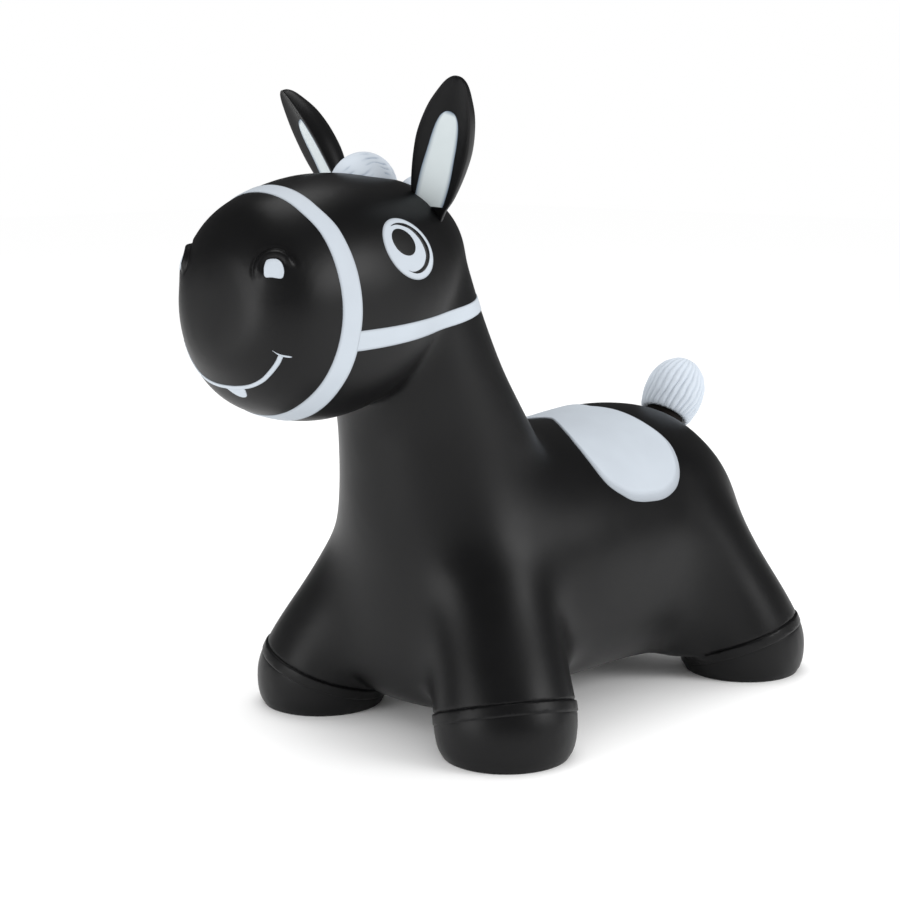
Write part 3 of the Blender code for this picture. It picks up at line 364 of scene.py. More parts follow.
class HorseHair(PropertyGroup):
    """Sizes of the ears, forelock and tail"""
    ear_width: length("Ear width", 0.0425, "Widest part of an ear's front")
    ear_depth: length("Ear depth", 0.0212, "Depth of an ear's round back")
    ear_dish: length("Ear dish", 0.0030, "Depth of the hollow in an ear's front")
    ear_lip: length("Ear lip", 0.0022, "How far the rolled lip stands out")
    ear_flare: FloatProperty(
        name="Ear flare", default=0.15, subtype="FACTOR", description="Flare of the ear's back",
    )
    tuft_radius: length("Tuft radius", 0.0268, "Widest part of the tail tuft")
    tuft_foot: length("Tuft foot", 0.0160, "From the tail's root to the tuft")
    tuft_length: length("Tuft length", 0.0578, "Length of the tail tuft")
    ribs: IntProperty(name="Ribs", default=28, min=6, description="Number of the tuft's ribs")
    collar: colour("Collar", "#17120E", "Colour of the tail's dark collar")


class HorseStage(PropertyGroup):
    """Camera and floor"""
    target: FloatVectorProperty(
        name="Target", default=(0, 0, 0.252), subtype="TRANSLATION",
        description="Point that the camera looks at, before the middle is moved",
    )
    distance: length("Distance", 1.53, "From the target to the camera")
    azimuth: FloatProperty(
        name="Azimuth", default=math.radians(42.5), subtype="ANGLE", description="Camera's turn about Z",
    )
    elevation: FloatProperty(
        name="Elevation", default=math.radians(8.5), subtype="ANGLE", description="Camera above the horizon",
    )
    lens: FloatProperty(name="Lens", default=75.6, description="Focal length for a 36 mm sensor")
    floor: colour("Floor", "#FEFEFE", "Colour of the floor")
    ambient: FloatProperty(
        name="Ambient", default=1.0, subtype="FACTOR", description="Light from all round",
    )
    flagged: FloatProperty(
        name="Flagged", default=0.10, subtype="FACTOR", description="Room seen in the gloss",
    )


# Materials

MATH, NOISE, BUMP = "ShaderNodeMath", "ShaderNodeTexNoise", "ShaderNodeBump"


def linear(hex_colour):
    """An sRGB hex colour as linear RGBA."""
    parts = [int(hex_colour[k:k + 2], 16) / 255 for k in (1, 3, 5)]
    return [c / 12.92 if c <= 0.04045 else ((c + 0.055) / 1.055) ** 2.4 for c in parts] + [1.0]


def shade(base, share):
    """A hex colour with each channel scaled."""
    return "#" + "".join(f"{min(255, round(int(base[k:k + 2], 16) * share)):02X}" for k in (1, 3, 5))


def add_node(tree, kind, inputs=None, **values):
    """Adds a node. An input takes a value, an output, or a node, which stands for its first output."""
    node = tree.nodes.new(kind)
    for key, value in values.items():
        setattr(node, key, value)
    for key, value in (inputs or {}).items():
        if isinstance(value, bpy.types.Node):
            value = value.outputs[0]
        if isinstance(value, bpy.types.NodeSocket):
            tree.links.new(value, node.inputs[key])
        else:
            node.inputs[key].default_value = value
    return node


def per_metre(millimetres):
    """A texture scale whose pattern repeats at about that size, in object coordinates."""
    return 1000 / millimetres


def new_material(name):
    """A material with an empty tree, the tree and the object's own coordinates."""
    material = bpy.data.materials.new(name)
    material.use_nodes = True
    tree = material.node_tree
    tree.nodes.clear()
    return material, tree, add_node(tree, "ShaderNodeTexCoord").outputs["Object"]


def surface(name, dark, light, roughness, specular, grain, tint=None, edge_tint=None):
    """A vinyl or paint finish. Colour clouds, where given a painted shade in the grooves and a misted edge,
    an uneven gloss, mould grain and slow waves.
    """
    material, tree, coords = new_material(name)
    # pigment and handling leave clouds some 80 mm across, so that the eye sees no dead flat colour
    cloud = add_node(tree, NOISE, {
        "Vector": coords, "Scale": per_metre(80), "Detail": 3.0, "Roughness": 0.55,
    })
    base = add_node(tree, "ShaderNodeValToRGB", {"Fac": cloud})
    for element, place, value in zip(base.color_ramp.elements, (0.30, 0.72), (dark, light)):
        element.position = place
        element.color = linear(value)
    # painted shade: the groove tint darkens the hair's grooves by their stored depth; the edge tint is the
    # paint's misted edge
    for attribute, value in (("groove", tint), ("rim", edge_tint)):
        if value:
            mask = add_node(tree, "ShaderNodeAttribute", attribute_name=attribute).outputs["Fac"]
            base = add_node(
                tree, "ShaderNodeMix", {"Factor": mask, "A": base, "B": linear(value)}, data_type="RGBA"
            ).outputs["Result"]
    # hands and dust dull the skin in patches, so that the soft lights break up a little
    wear = add_node(tree, "ShaderNodeMapRange", {
        "Value": cloud, "From Min": 0.3, "From Max": 0.7,
        "To Min": roughness - 0.04, "To Max": roughness + 0.05,
    })
    # the mould was blasted with grit of about 0.5 mm, which gives the skin an even satin grain
    fine = add_node(tree, NOISE, {
        "Vector": coords, "Scale": per_metre(0.5), "Detail": 2.0, "Roughness": 0.6,
    })
    # the hot skin shrinks unevenly as it cools, which leaves waves some 30 mm across in the gloss
    slow = add_node(tree, NOISE, {
        "Vector": coords, "Scale": per_metre(30), "Detail": 1.0, "Roughness": 0.4,
    })
    waves = add_node(tree, BUMP, {"Strength": 0.10, "Distance": 0.0010, "Height": slow})
    bump = add_node(tree, BUMP, {"Strength": grain, "Distance": 0.0002, "Height": fine, "Normal": waves})
    shader = add_node(tree, "ShaderNodeBsdfPrincipled", {
        "Base Color": base, "Roughness": wear, "IOR": 1.52, "Specular IOR Level": specular, "Normal": bump,
    })
    add_node(tree, "ShaderNodeOutputMaterial", {"Surface": shader})
    return material


def floor_material(hex_colour):
    """Painted board: white, even and dull."""
    material, tree, coords = new_material("floor_painted_board")
    # a roller leaves specks some 15 mm apart, which are only seen close up
    speck = add_node(tree, NOISE, {"Scale": per_metre(15), "Detail": 2.0, "Vector": coords})
    bump = add_node(tree, BUMP, {"Strength": 0.02, "Distance": 0.001, "Height": speck})
    shader = add_node(tree, "ShaderNodeBsdfPrincipled", {
        "Base Color": linear(hex_colour), "Roughness": 1.0, "Specular IOR Level": 0.0, "Normal": bump,
    })
    add_node(tree, "ShaderNodeOutputMaterial", {"Surface": shader})
    return material


def materials():
    """The object's finishes, made once."""
    if "materials" in made:
        return made["materials"]
    skin, marks, hair = settings()
    vinyl, white, misted, edge = skin.vinyl, marks.white, marks.ear_white, shade(marks.white, 0.8)
    # key, name, colour, its darkest and lightest share, roughness, specular, grain, painted groove shade and
    # edge tint
    finishes = (
        # blow-moulded soft PVC, pigmented black: deep black with wide dull glows
        ("black", "soft_pvc_blow_moulded_black", vinyl, 0.85, 1.15, 0.39, 0.19, 0.14),
        # flexible vinyl paint, sprayed through masks: an even pale zone, nearly matt
        ("white", "vinyl_paint_sprayed_white", white, 0.975, 1.02, 0.55, 0.30, 0.08, None, edge),
        # the same paint on moulded hair, with painted shade in its grooves: blue-grey mixed in by the depth
        # of each groove
        ("hair", "vinyl_paint_on_moulded_hair", white, 1.06, 1.10, 0.55, 0.30, 0.08, marks.shadow),
        # the same paint misted into the ears' hollows: its edge fades to blue-grey
        ("ear_white", "vinyl_paint_misted_in_ears", misted, 0.97, 1.02, 0.55, 0.30, 0.08, None, marks.mist),
        # gloss paint pad-printed on the eyes: the blackest marks, a little shinier than the skin
        ("pupil", "vinyl_paint_printed_black", vinyl, 0.75, 0.95, 0.40, 0.30, 0.06),
        # the bare skin of the tail's neck, etched deep by the mould: it swallows the light
        ("collar", "soft_pvc_etched_collar", hair.collar, 0.8, 1.3, 0.80, 0.20, 0.60),
    )
    made["materials"] = {
        key: surface(name, shade(base, dark), shade(base, light), *rest)
        for key, name, base, dark, light, *rest in finishes
    }
    return made["materials"]


def settings():
    scene = bpy.context.scene
    return scene.horse_skin, scene.horse_marks, scene.horse_hair


# Meshes

def opened(mesh):
    """The mesh as a BMesh."""
    bm = bmesh.new()
    bm.from_mesh(mesh)
    return bm


def mesh_of(name, bm):
    bmesh.ops.recalc_face_normals(bm, faces=bm.faces)
    mesh = bpy.data.meshes.new(name)
    bm.to_mesh(mesh)
    bm.free()
    return mesh


def add_object(name, mesh, material=None, smooth_angle=50):
    obj = bpy.data.objects.new(name, mesh)
    bpy.context.scene.collection.objects.link(obj)
    if material:
        obj.data.materials.clear()
        obj.data.materials.append(material)
        obj.data.shade_smooth()
        obj.data.set_sharp_from_angle(angle=math.radians(smooth_angle))
    return obj


def settle(obj):
    """Replaces the object's mesh by the one its modifiers give."""
    graph = bpy.context.evaluated_depsgraph_get()
    mesh = bpy.data.meshes.new_from_object(obj.evaluated_get(graph))
    obj.modifiers.clear()
    obj.data = mesh


def modify(obj, kind, **values):
    modifier = obj.modifiers.new(kind.title(), kind)
    for key, value in values.items():
        setattr(modifier, key, value)


def boolean(obj, operation, other):
    modify(obj, "BOOLEAN", operation=operation, solver="EXACT", object=other)
    settle(obj)
    bpy.data.objects.remove(other)


def to_frame(obj):
    """Moves a drawn mesh so that the horse's middle stands over the origin."""
    obj.data.transform(Matrix.Translation(-MIDDLE))


def finish(obj, body, slot, *nodes):
    """Moves a piece into the frame and says what it rides and replaces. The slot, the finish it is made of,
    is not used.
    """
    to_frame(obj)
    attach(obj, body)
    if nodes:
        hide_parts(*nodes)
    return obj


def vectors(mesh, key):
    """Each point's co or normal, as rows of an array."""
    values = np.empty(len(mesh.vertices) * 3)
    mesh.vertices.foreach_get(key, values)
    return values.reshape(-1, 3)


def tree_of(mesh):
    bm = opened(mesh)
    bmesh.ops.triangulate(bm, faces=bm.faces)
    tree = BVHTree.FromBMesh(bm)
    bm.free()
    return tree


def smooth_rows(rows, steps):
    """The rows with steps - 1 more between each two, on a Catmull-Rom curve through them."""
    first = [2 * a - b for a, b in zip(rows[0], rows[1])]
    last = [2 * a - b for a, b in zip(rows[-1], rows[-2])]
    ends = [first, *rows, last]
    out = []
    for p, q, r, s in zip(ends, ends[1:], ends[2:], ends[3:]):
        for step in range(steps):
            t = step / steps
            out.append([
                b + ((c - a) * t + (2 * a - 5 * b + 4 * c - d) * t**2 + (3 * b - a - 3 * c + d) * t**3) / 2
                for a, b, c, d in zip(p, q, r, s)
            ])
    out.append(list(rows[-1]))
    return out


def turns(count):
    """Equal turns once round."""
    return [math.tau * k / count for k in range(count)]


def oval(half_width, low, high, low_fullness=2.1, high_fullness=2.1):
    """A ring of points about an oval. A fullness of 2 is an ellipse, and more is squarer."""
    middle = (low + high) / 2
    half = (high - low) / 2
    ring = []
    for turn in turns(RING_POINTS):
        across, up = math.cos(turn), math.sin(turn)
        power = 2 / (high_fullness if up >= 0 else low_fullness)
        ring.append((
            math.copysign(abs(across) ** power, across) * half_width,
            middle + math.copysign(abs(up) ** power, up) * half,
        ))
    return ring


def circle(radius, count):
    """Points (across, fore) about a circle."""
    return [(radius * math.cos(turn), radius * math.sin(turn)) for turn in turns(count)]


def loft(bm, rings):
    """Joins rings of as many points into one closed body."""
    rows = [[bm.verts.new(point) for point in ring] for ring in rings]
    for near, far in zip(rows, rows[1:]):
        for k in range(len(near)):
            following = (k + 1) % len(near)
            bm.faces.new((near[k], near[following], far[following], far[k]))
    bm.faces.new(rows[0][::-1])
    bm.faces.new(rows[-1])


def lofted(name, rings, place, *look):
    """An object of one loft, moved to its place."""
    bm = bmesh.new()
    loft(bm, rings)
    mesh = mesh_of(name, bm)
    mesh.transform(place)
    return add_object(name, mesh, *look)


# Skin

def legs():
    """Name, side, hoof centre, ring height, ring slopes, hip, thigh radius and webs of each leg."""
    skin = settings()[0]
    for end, (hoof_y, ring, rake, hip, thigh, webs) in LEG_ENDS.items():
        for word, side in SIDES:
            foot = Vector((side * skin.hoof_out, hoof_y, 0))
            slopes = (side * RING_SPLAY, rake)
            yield f"{end}_{word}", side, foot, ring, slopes, (side * hip[0], hip[1]), thigh, webs


def add_lengthwise(bm, rows, start, reach, half_width, low, depth, *fullness):
    rings = []
    for along, bottom, top, width in smooth_rows(rows, ROW_STEPS):
        section = oval(width * half_width, low + bottom * depth, low + top * depth, *fullness)
        rings.append([(x, start + along * reach, z) for x, z in section])
    loft(bm, rings)


def add_neck(bm, skin):
    rings = []
    for up, front, back, width in smooth_rows(NECK_SHARES, ROW_STEPS):
        section = oval(width * skin.neck_width / 2, front * skin.neck_reach, back * skin.neck_reach)
        rings.append([(x, y, skin.neck_foot + up * skin.neck_rise) for x, y in section])
    loft(bm, rings)


def add_leg(bm, skin, foot, hip, thigh):
    rings = []
    for up, way, full in smooth_rows(LEG_SHARES, ROW_STEPS):
        x = foot.x + way * (hip[0] - foot.x)
        y = foot.y + way * (hip[1] - foot.y)
        radius = full * (skin.hoof_radius + way * (thigh - skin.hoof_radius))
        section = oval(radius, -radius, radius, 2, 2)
        rings.append([(x + across, y + fore, up * skin.hip_height) for across, fore in section])
    loft(bm, rings)


def add_web(bm, skin, side, foot, ends):
    """A bridge of level rings from one end to the other."""
    scale = np.array((side * skin.hoof_out, skin.hoof_radius, skin.hip_height, skin.hoof_radius))
    low, high = (np.array(end) * scale for end in ends)
    rings = []
    for share in (0, 0.25, 0.5, 0.75, 1):
        x, aft, z, radius = low + share * (high - low)
        section = oval(radius, -radius, radius, 2, 2)
        rings.append([(x + across, foot.y + aft + fore, z) for across, fore in section])
    loft(bm, rings)


def nostril(side):
    """Centre and outward direction of a nostril."""
    flip = Vector((side, 1, 1))
    return NOSTRIL_CENTRE * flip, (NOSTRIL_FACING * flip).normalized()


def smooth_step(low, high, values):
    share = np.clip((values - low) / (high - low), 0, 1)
    return share * share * (3 - 2 * share)


def melted_form(skin):
    """Torso, neck, head, legs and webs as one eased skin, cut flat at the soles."""
    bm = bmesh.new()
    depth = skin.back - skin.belly
    add_lengthwise(
        bm, TORSO_SHARES, skin.chest_y, skin.torso_length, skin.torso_width / 2, skin.belly, depth, 2.9, 2.1
    )
    add_neck(bm, skin)
    add_lengthwise(
        bm, HEAD_SHARES, skin.muzzle_y, skin.head_length, skin.head_width / 2, skin.jaw, skin.head_depth
    )
    for _, side, foot, _, _, hip, thigh, webs in legs():
        add_leg(bm, skin, foot, hip, thigh)
        for ends in webs:
            add_web(bm, skin, side, foot, ends)
    for _, side in SIDES:
        centre, facing = nostril(side)
        place = Matrix.Translation(centre - facing * NOSTRIL_BUMP_DEPTH)
        bmesh.ops.create_uvsphere(bm, u_segments=48, v_segments=24, radius=NOSTRIL_BUMP_RADIUS, matrix=place)
    form = add_object("form", mesh_of("form", bm))
    modify(form, "REMESH", mode="VOXEL", voxel_size=skin.voxel)
    settle(form)
    height = vectors(form.data, "co")[:, 2]
    foot, ankle, flank, spine = MELT_HEIGHTS
    melt = smooth_step(foot, ankle, height) * (1 - smooth_step(flank, spine, height))
    levels = np.round(melt * MELT_LEVELS) / MELT_LEVELS
    group = form.vertex_groups.new(name="melt")
    for level in np.unique(levels[levels > 0]):
        group.add(np.nonzero(levels == level)[0].tolist(), float(level), "REPLACE")
    modify(form, "SMOOTH", factor=0.5, iterations=skin.melting, vertex_group="melt")
    modify(form, "SMOOTH", factor=0.5, iterations=skin.easing)
    settle(form)
    bm = opened(form.data)
    cut = bmesh.ops.bisect_plane(
        bm, geom=bm.verts[:] + bm.edges[:] + bm.faces[:], dist=0.00001,
        plane_co=(0, 0, 0), plane_no=(0, 0, -1), clear_outer=True,
    )
    rim = [item for item in cut["geom_cut"] if isinstance(item, bmesh.types.BMEdge)]
    bmesh.ops.holes_fill(bm, edges=rim)
    form.data = mesh_of("form", bm)
    return form


def step_profile(distance, width):
    """0 well above a line and 1 well below it, turning over the width."""
    return 1 / (1 + np.exp(np.clip(distance / width * 4, -30, 30)))


def dip(distance, width):
    return np.exp(-((distance / width) ** 2))


def ring_distance(points, foot, ring, slopes):
    """Signed height of points over a hoof's tilted ring."""
    return points[:, 2] - ring - slopes[0] * (points[:, 0] - foot.x) - slopes[1] * (points[:, 1] - foot.y)


def ring_normal(slopes):
    return Vector((-slopes[0], -slopes[1], 1)).normalized()


def score_rings(form):
    """Puts edge loops along each hoof's band, so that the moulded steps stay crisp."""
    skin = settings()[0]
    bm = opened(form.data)
    for _, _, foot, ring, slopes, _, _, _ in legs():
        normal = ring_normal(slopes)
        for offset in BAND_LOOPS:
            near = [
                face for face in bm.faces
                if (face.calc_center_median().xy - foot.xy).length < skin.hoof_radius + SCORE_MARGIN
                and face.calc_center_median().z < ring + SCORE_RISE
            ]
            # a dictionary keeps the order of its keys, so that each run gives the same mesh
            edges = dict.fromkeys(edge for face in near for edge in face.edges)
            verts = dict.fromkeys(vert for face in near for vert in face.verts)
            bmesh.ops.bisect_plane(
                bm, geom=[*near, *edges, *verts], dist=0.00002,
                plane_co=foot + Vector((0, 0, ring + offset)), plane_no=normal,
            )
    for _, side in SIDES:
        # the nostrils' rings are finer than the grid, so the skin is cut up there and eased
        centre, facing = nostril(side)
        near = [vert for vert in bm.verts if (vert.co - centre).length < NOSTRIL_CUT]
        edges = dict.fromkeys(edge for vert in near for edge in vert.link_edges)
        bmesh.ops.subdivide_edges(bm, edges=list(edges), cuts=3, use_grid_fill=True)
        close = [vert for vert in bm.verts if (vert.co - centre).length < NOSTRIL_REACH]
        for _ in range(10):
            bmesh.ops.smooth_vert(
                bm, verts=close, factor=0.5, use_axis_x=True, use_axis_y=True, use_axis_z=True
            )
    bmesh.ops.triangulate(bm, faces=[face for face in bm.faces if 4 < len(face.verts) < 40])
    form.data = mesh_of("form", bm)


def nostril_relief(points, normals, side):
    """A rounded ring about the nostril patch between two grooves, open below."""
    centre, facing = nostril(side)
    offset = points - np.array(centre)
    level = UP.cross(facing).normalized()
    across, up = side * (offset @ np.array(level)), offset @ np.array(facing.cross(level))
    reach = np.hypot(across, up)
    turn = np.arctan2(up, across)
    close = (reach < NOSTRIL_REACH) & (normals @ np.array(facing) > 0.1)
    # the ring is full over the top and the front, and dies out below and behind
    apart = np.minimum(np.abs(turn - RING_TOP), np.abs(turn + math.tau - RING_TOP))
    open_below = smooth_step(-RING_END, -RING_FULL, -apart)
    rings = sum(lift * dip(reach - radius, width) for lift, radius, width in NOSTRIL_RINGS)
    return close * rings * open_below


def moulded_relief(points, normals):
    """How far each point of the skin stands out: hoof bands and nostril rings."""
    skin = settings()[0]
    lift = np.zeros(len(points))
    for _, _, foot, ring, slopes, _, _, _ in legs():
        height = ring_distance(points, foot, ring, slopes)
        near = np.hypot(points[:, 0] - foot.x, points[:, 1] - foot.y) < skin.hoof_radius + BAND_MARGIN
        under = step_profile(height + skin.band, BAND_EDGE)
        band = skin.band_proud * (step_profile(height + BAND_INSET, BAND_EDGE) - under)
        over_ring, under_band = dip(height, RING_GROOVE_WIDTH), dip(height + skin.band, BAND_GROOVE_WIDTH)
        grooves = -RING_GROOVE * over_ring - BAND_GROOVE * under_band
        lift += near * (band + CUP_PROUD * under + grooves) * (points[:, 2] > SOLE_ROUNDING)
    for _, side in SIDES:
        lift += nostril_relief(points, normals, side)
    return lift


def skin_form():
    """The finished outer surface, drawn at the drawing's own zero."""
    if "form" in made:
        return made["form"]
    form = melted_form(settings()[0])
    score_rings(form)
    points = vectors(form.data, "co")
    normals = vectors(form.data, "normal")
    lift = moulded_relief(points, normals)
    uneven = np.array([noise.noise(Vector(point) * UNEVEN_SCALE) for point in points])
    lift += UNEVEN * uneven * np.clip(points[:, 2] / UNEVEN_HEIGHT, 0, 1)
    moved = points + normals * lift[:, None]
    moved[:, 2] = np.maximum(moved[:, 2], 0)
    form.data.vertices.foreach_set("co", moved.ravel())
    form.data.update()
    form.data.shade_smooth()
    form.hide_render = True
    made["form"] = form
    made["tree"] = tree_of(form.data)
    corners = [tuple(polygon.vertices) for polygon in form.data.polygons]
    made["faces"] = BVHTree.FromPolygons([vertex.co.copy() for vertex in form.data.vertices], corners)
    return form


def smooth_normal(point):
    """The skin's shaded normal at the place nearest to the point."""
    mesh = made["form"].data
    _, flat, index, _ = made["faces"].find_nearest(point)
    total = Vector()
    for k in mesh.polygons[index].vertices:
        vertex = mesh.vertices[k]
        total += vertex.normal / max((vertex.co - point).length, 0.0002)
    return total.normalized() if total.length > 0 else flat


def match_normals(obj):
    """Gives a piece that was cut from the skin the whole skin's normals, so that no seam shows."""
    mesh = obj.data
    fitted = {}
    loops = [None] * len(mesh.loops)
    for polygon in mesh.polygons:
        for k in polygon.loop_indices:
            index = mesh.loops[k].vertex_index
            if index not in fitted:
                fitted[index] = smooth_normal(mesh.vertices[index].co)
            near = fitted[index]
            loops[k] = near if near.dot(polygon.normal) > CAP_LIMIT else polygon.normal.copy()
    mesh.normals_split_custom_set(loops)


def post(foot, radius, low, high, slopes):
    """An upright post. Above the floor its ends slant with the ring."""
    rings = [
        [
            (foot.x + across, foot.y + fore, height + (slopes[0] * across + slopes[1] * fore) * (height > 0))
            for across, fore in circle(radius, 96)
        ]
        for height in (low, high)
    ]
    return lofted("cut", rings, Matrix())


class HORSE_OT_skin(Operator):
    """Body, soft legs and hooves, cut from one eased skin"""
    bl_idname = "horse.skin"
    bl_label = "Skin, legs and hooves"

    def execute(self, context):
        skin = settings()[0]
        form = skin_form()
        black = materials()["black"]
        body = add_object("horse_body", form.data.copy(), black)
        radius = skin.hoof_radius + POST_MARGIN
        for name, _, foot, ring, slopes, _, _, _ in legs():
            top = ring + skin.sleeve
            joint = ring - 0.0001
            hoof = add_object(f"{name}_hoof_shell", form.data.copy(), black)
            boolean(hoof, "INTERSECT", post(foot, radius - HOOF_GAP, -0.02, joint, slopes))
            sleeve = add_object(f"{name}_leg_sleeve", form.data.copy(), black)
            boolean(sleeve, "INTERSECT", post(foot, radius, joint, top, slopes))
            boolean(body, "DIFFERENCE", post(foot, radius, -0.02, top, slopes))
            match_normals(hoof)
            match_normals(sleeve)
            finish(hoof, "feet", "black_vinyl", f"{name}_hoof")
            to_frame(sleeve)
            normal = ring_normal(slopes)
            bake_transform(sleeve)
            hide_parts(f"{name}_leg")
        match_normals(body)
        finish(body, "body", "black_vinyl", "body_skin")
        return {"FINISHED"}


# Painted zones, laid on the skin as thin raised sheets

def hit(origin, direction):
    """Where a ray meets the skin, or nothing."""
    skin_form()
    place, _, _, _ = made["tree"].ray_cast(Vector(origin), Vector(direction))
    return place


def crown(share, thickness):
    """Height of a painted zone at a share of the way from its middle to its edge."""
    edge = max(0.0, 1 - share)
    return thickness * math.sqrt(max(0.0, 1 - (1 - min(1.0, edge / EDGE_ROUNDING)) ** 2))


def sheet(
    name, grid, thickness, closed_rows=False, material="white", lift_normal=None, raised=None, misted=0.93
):
    """A closed thin body over a grid of (point, edge share) rows. The skin's normals lift it."""
    bm = bmesh.new()
    rim = bm.verts.layers.float.new("rim")
    top, under = [], []
    for row in grid:
        upper, lower = [], []
        for point, share in row:
            normal = lift_normal(point) if lift_normal else smooth_normal(point)
            extra = raised(share) if raised else 0.0
            upper.append(bm.verts.new(point + normal * (crown(share, thickness) + extra - SUNK)))
            lower.append(bm.verts.new(point - normal * SHEET_DEPTH))
            upper[-1][rim] = max(0.0, (share - misted) / (1 - misted))
        top.append(upper)
        under.append(lower)
    rows, columns = len(grid), len(grid[0])
    for r in range(rows if closed_rows else rows - 1):
        following = (r + 1) % rows
        for c in range(columns - 1):
            bm.faces.new((top[r][c], top[r][c + 1], top[following][c + 1], top[following][c]))
            bm.faces.new((under[r][c], under[following][c], under[following][c + 1], under[r][c + 1]))
        for c in (0, columns - 1):
            bm.faces.new((top[r][c], top[following][c], under[following][c], under[r][c]))
    if not closed_rows:
        for r in (0, rows - 1):
            for c in range(columns - 1):
                bm.faces.new((top[r][c], top[r][c + 1], under[r][c + 1], under[r][c]))
    bmesh.ops.remove_doubles(bm, verts=bm.verts, dist=0.000004)
    return add_object(name, mesh_of(name, bm), materials()[material], 60)


def stations(count):
    """Places across a band from -1 to 1, close together at its edges, with their edge shares."""
    inner = [-1 + 2 * k / count for k in range(count + 1)]
    fine = [0.97, 0.985, 0.995, 1.0]
    values = sorted({*[v for v in inner if abs(v) < 0.95], *fine, *[-v for v in fine]})
    return [(value, abs(value)) for value in values]


def noseband_edges(turn):
    """Distances of the band's front and rear edge at a turn from the crown in degrees."""
    for (start, *near), (end, *far) in zip(NOSEBAND_EDGES, NOSEBAND_EDGES[1:]):
        if turn <= end:
            share = float(smooth_step(start, end, turn))
            return [a + share * (b - a) for a, b in zip(near, far)]
    return NOSEBAND_EDGES[-1][1:]


def between(profile, wanted):
    """The point of a profile of (distance, point) at the wanted distance."""
    for (near, first), (far, second) in zip(profile, profile[1:]):
        if near <= wanted <= far:
            return first.lerp(second, (wanted - near) / max(far - near, 1e-9))
    raise RuntimeError(f"the noseband runs off the muzzle at {wanted}")


def noseband_grid():
    """Rings about the muzzle at set distances from the noseband's centre."""
    grid = []
    for turn in turns(NOSEBAND_TURNS):
        outward = Vector((math.sin(turn), 0, math.cos(turn)))
        front, rear = noseband_edges(math.degrees(min(turn, math.tau - turn)))
        places = [hit((0, y, NOSEBAND_CENTRE.z), outward) for y in NOSEBAND_SCAN]
        profile = [((place - NOSEBAND_CENTRE).length, place) for place in places]
        grid.append([
            (between(profile, (front + rear) / 2 + value * (rear - front) / 2), share)
            for value, share in stations(8)
        ])
    return grid


def strap_point(turn, value, marks):
    """A point of the strap at a turn about the head's upright axis. 0 is the nape."""
    outward = Vector((math.sin(turn), math.cos(turn), 0))
    z = STRAP_START
    for _ in range(6):
        place = hit((0, STRAP_AXIS_Y, z), outward)
        aft = place.y - STRAP_LOW_Y
        width = marks.strap_width * float(np.interp(place.y, *zip(*STRAP_WIDTHS)))
        z = STRAP_CURVE[0] + STRAP_CURVE[1] * aft + STRAP_CURVE[2] * aft * aft + value * width / 2
    return place


def strap_end(value, side, marks):
    """The turn at which the strap meets the noseband."""
    low, high = (math.radians(turn) for turn in STRAP_END_TURNS)
    for _ in range(24):
        turn = (low + high) / 2
        place = strap_point(side * turn, value, marks) - NOSEBAND_CENTRE
        rear = noseband_edges(math.degrees(math.atan2(abs(place.x), place.z)))[1]
        if place.length > rear - STRAP_OVERLAP:
            low = turn
        else:
            high = turn
    return side * low


class HORSE_OT_halter(Operator):
    """White noseband and cheek strap"""
    bl_idname = "horse.halter"
    bl_label = "Halter"

    def execute(self, context):
        marks = settings()[1]
        band = sheet("halter_noseband", noseband_grid(), marks.paint, closed_rows=True)
        finish(band, "body", "white_paint", "noseband")
        across = stations(8)
        ends = [(strap_end(v, -1, marks), strap_end(v, 1, marks)) for v, _ in across]
        grid = [
            [
                (strap_point(first + k / STRAP_STEPS * (last - first), v, marks), edge)
                for (v, edge), (first, last) in zip(across, ends)
            ]
            for k in range(STRAP_STEPS + 1)
        ]
        strap = sheet("halter_strap", grid, marks.paint)
        finish(strap, "body", "white_paint", "cheek_strap")
        return {"FINISHED"}


def disc(name, to_skin, outline, thickness, material="white", rings=DISC_RINGS, raised=None):
    """A raised spot: rings from the middle of a flat outline to its edge, carried on to the skin."""
    middle = sum((Vector(point) for point in outline), Vector((0, 0))) / len(outline)
    grid = [[(to_skin(middle.lerp(Vector(point), ring)), ring) for ring in rings] for point in outline]
    return sheet(name, grid, thickness, closed_rows=True, material=material, raised=raised)


def ellipse(centre, half_u, half_v, tilt, count=96):
    points = []
    for turn in turns(count):
        u, v = half_u * math.cos(turn), half_v * math.sin(turn)
        points.append((
            centre[0] + u * math.cos(tilt) - v * math.sin(tilt),
            centre[1] + u * math.sin(tilt) + v * math.cos(tilt),
        ))
    return points


def rounded(corners, steps=8):
    """A closed outline through the corners."""
    count = len(corners)
    rows = smooth_rows([corners[k % count] for k in range(-2, count + 3)], steps)
    return [tuple(row) for row in rows[2 * steps:(count + 2) * steps]]


def side_projection(side):
    """Carries a (y, z) point on to that side of the skin."""
    def to_skin(point):
        return hit((side * SIDE_START, point[0], point[1]), (-side, 0, 0))
    return to_skin


def front_projection(point):
    """Carries an (x, z) point on to the front of the skin."""
    return hit((point[0], FRONT_START, point[1]), (0, 1, 0))


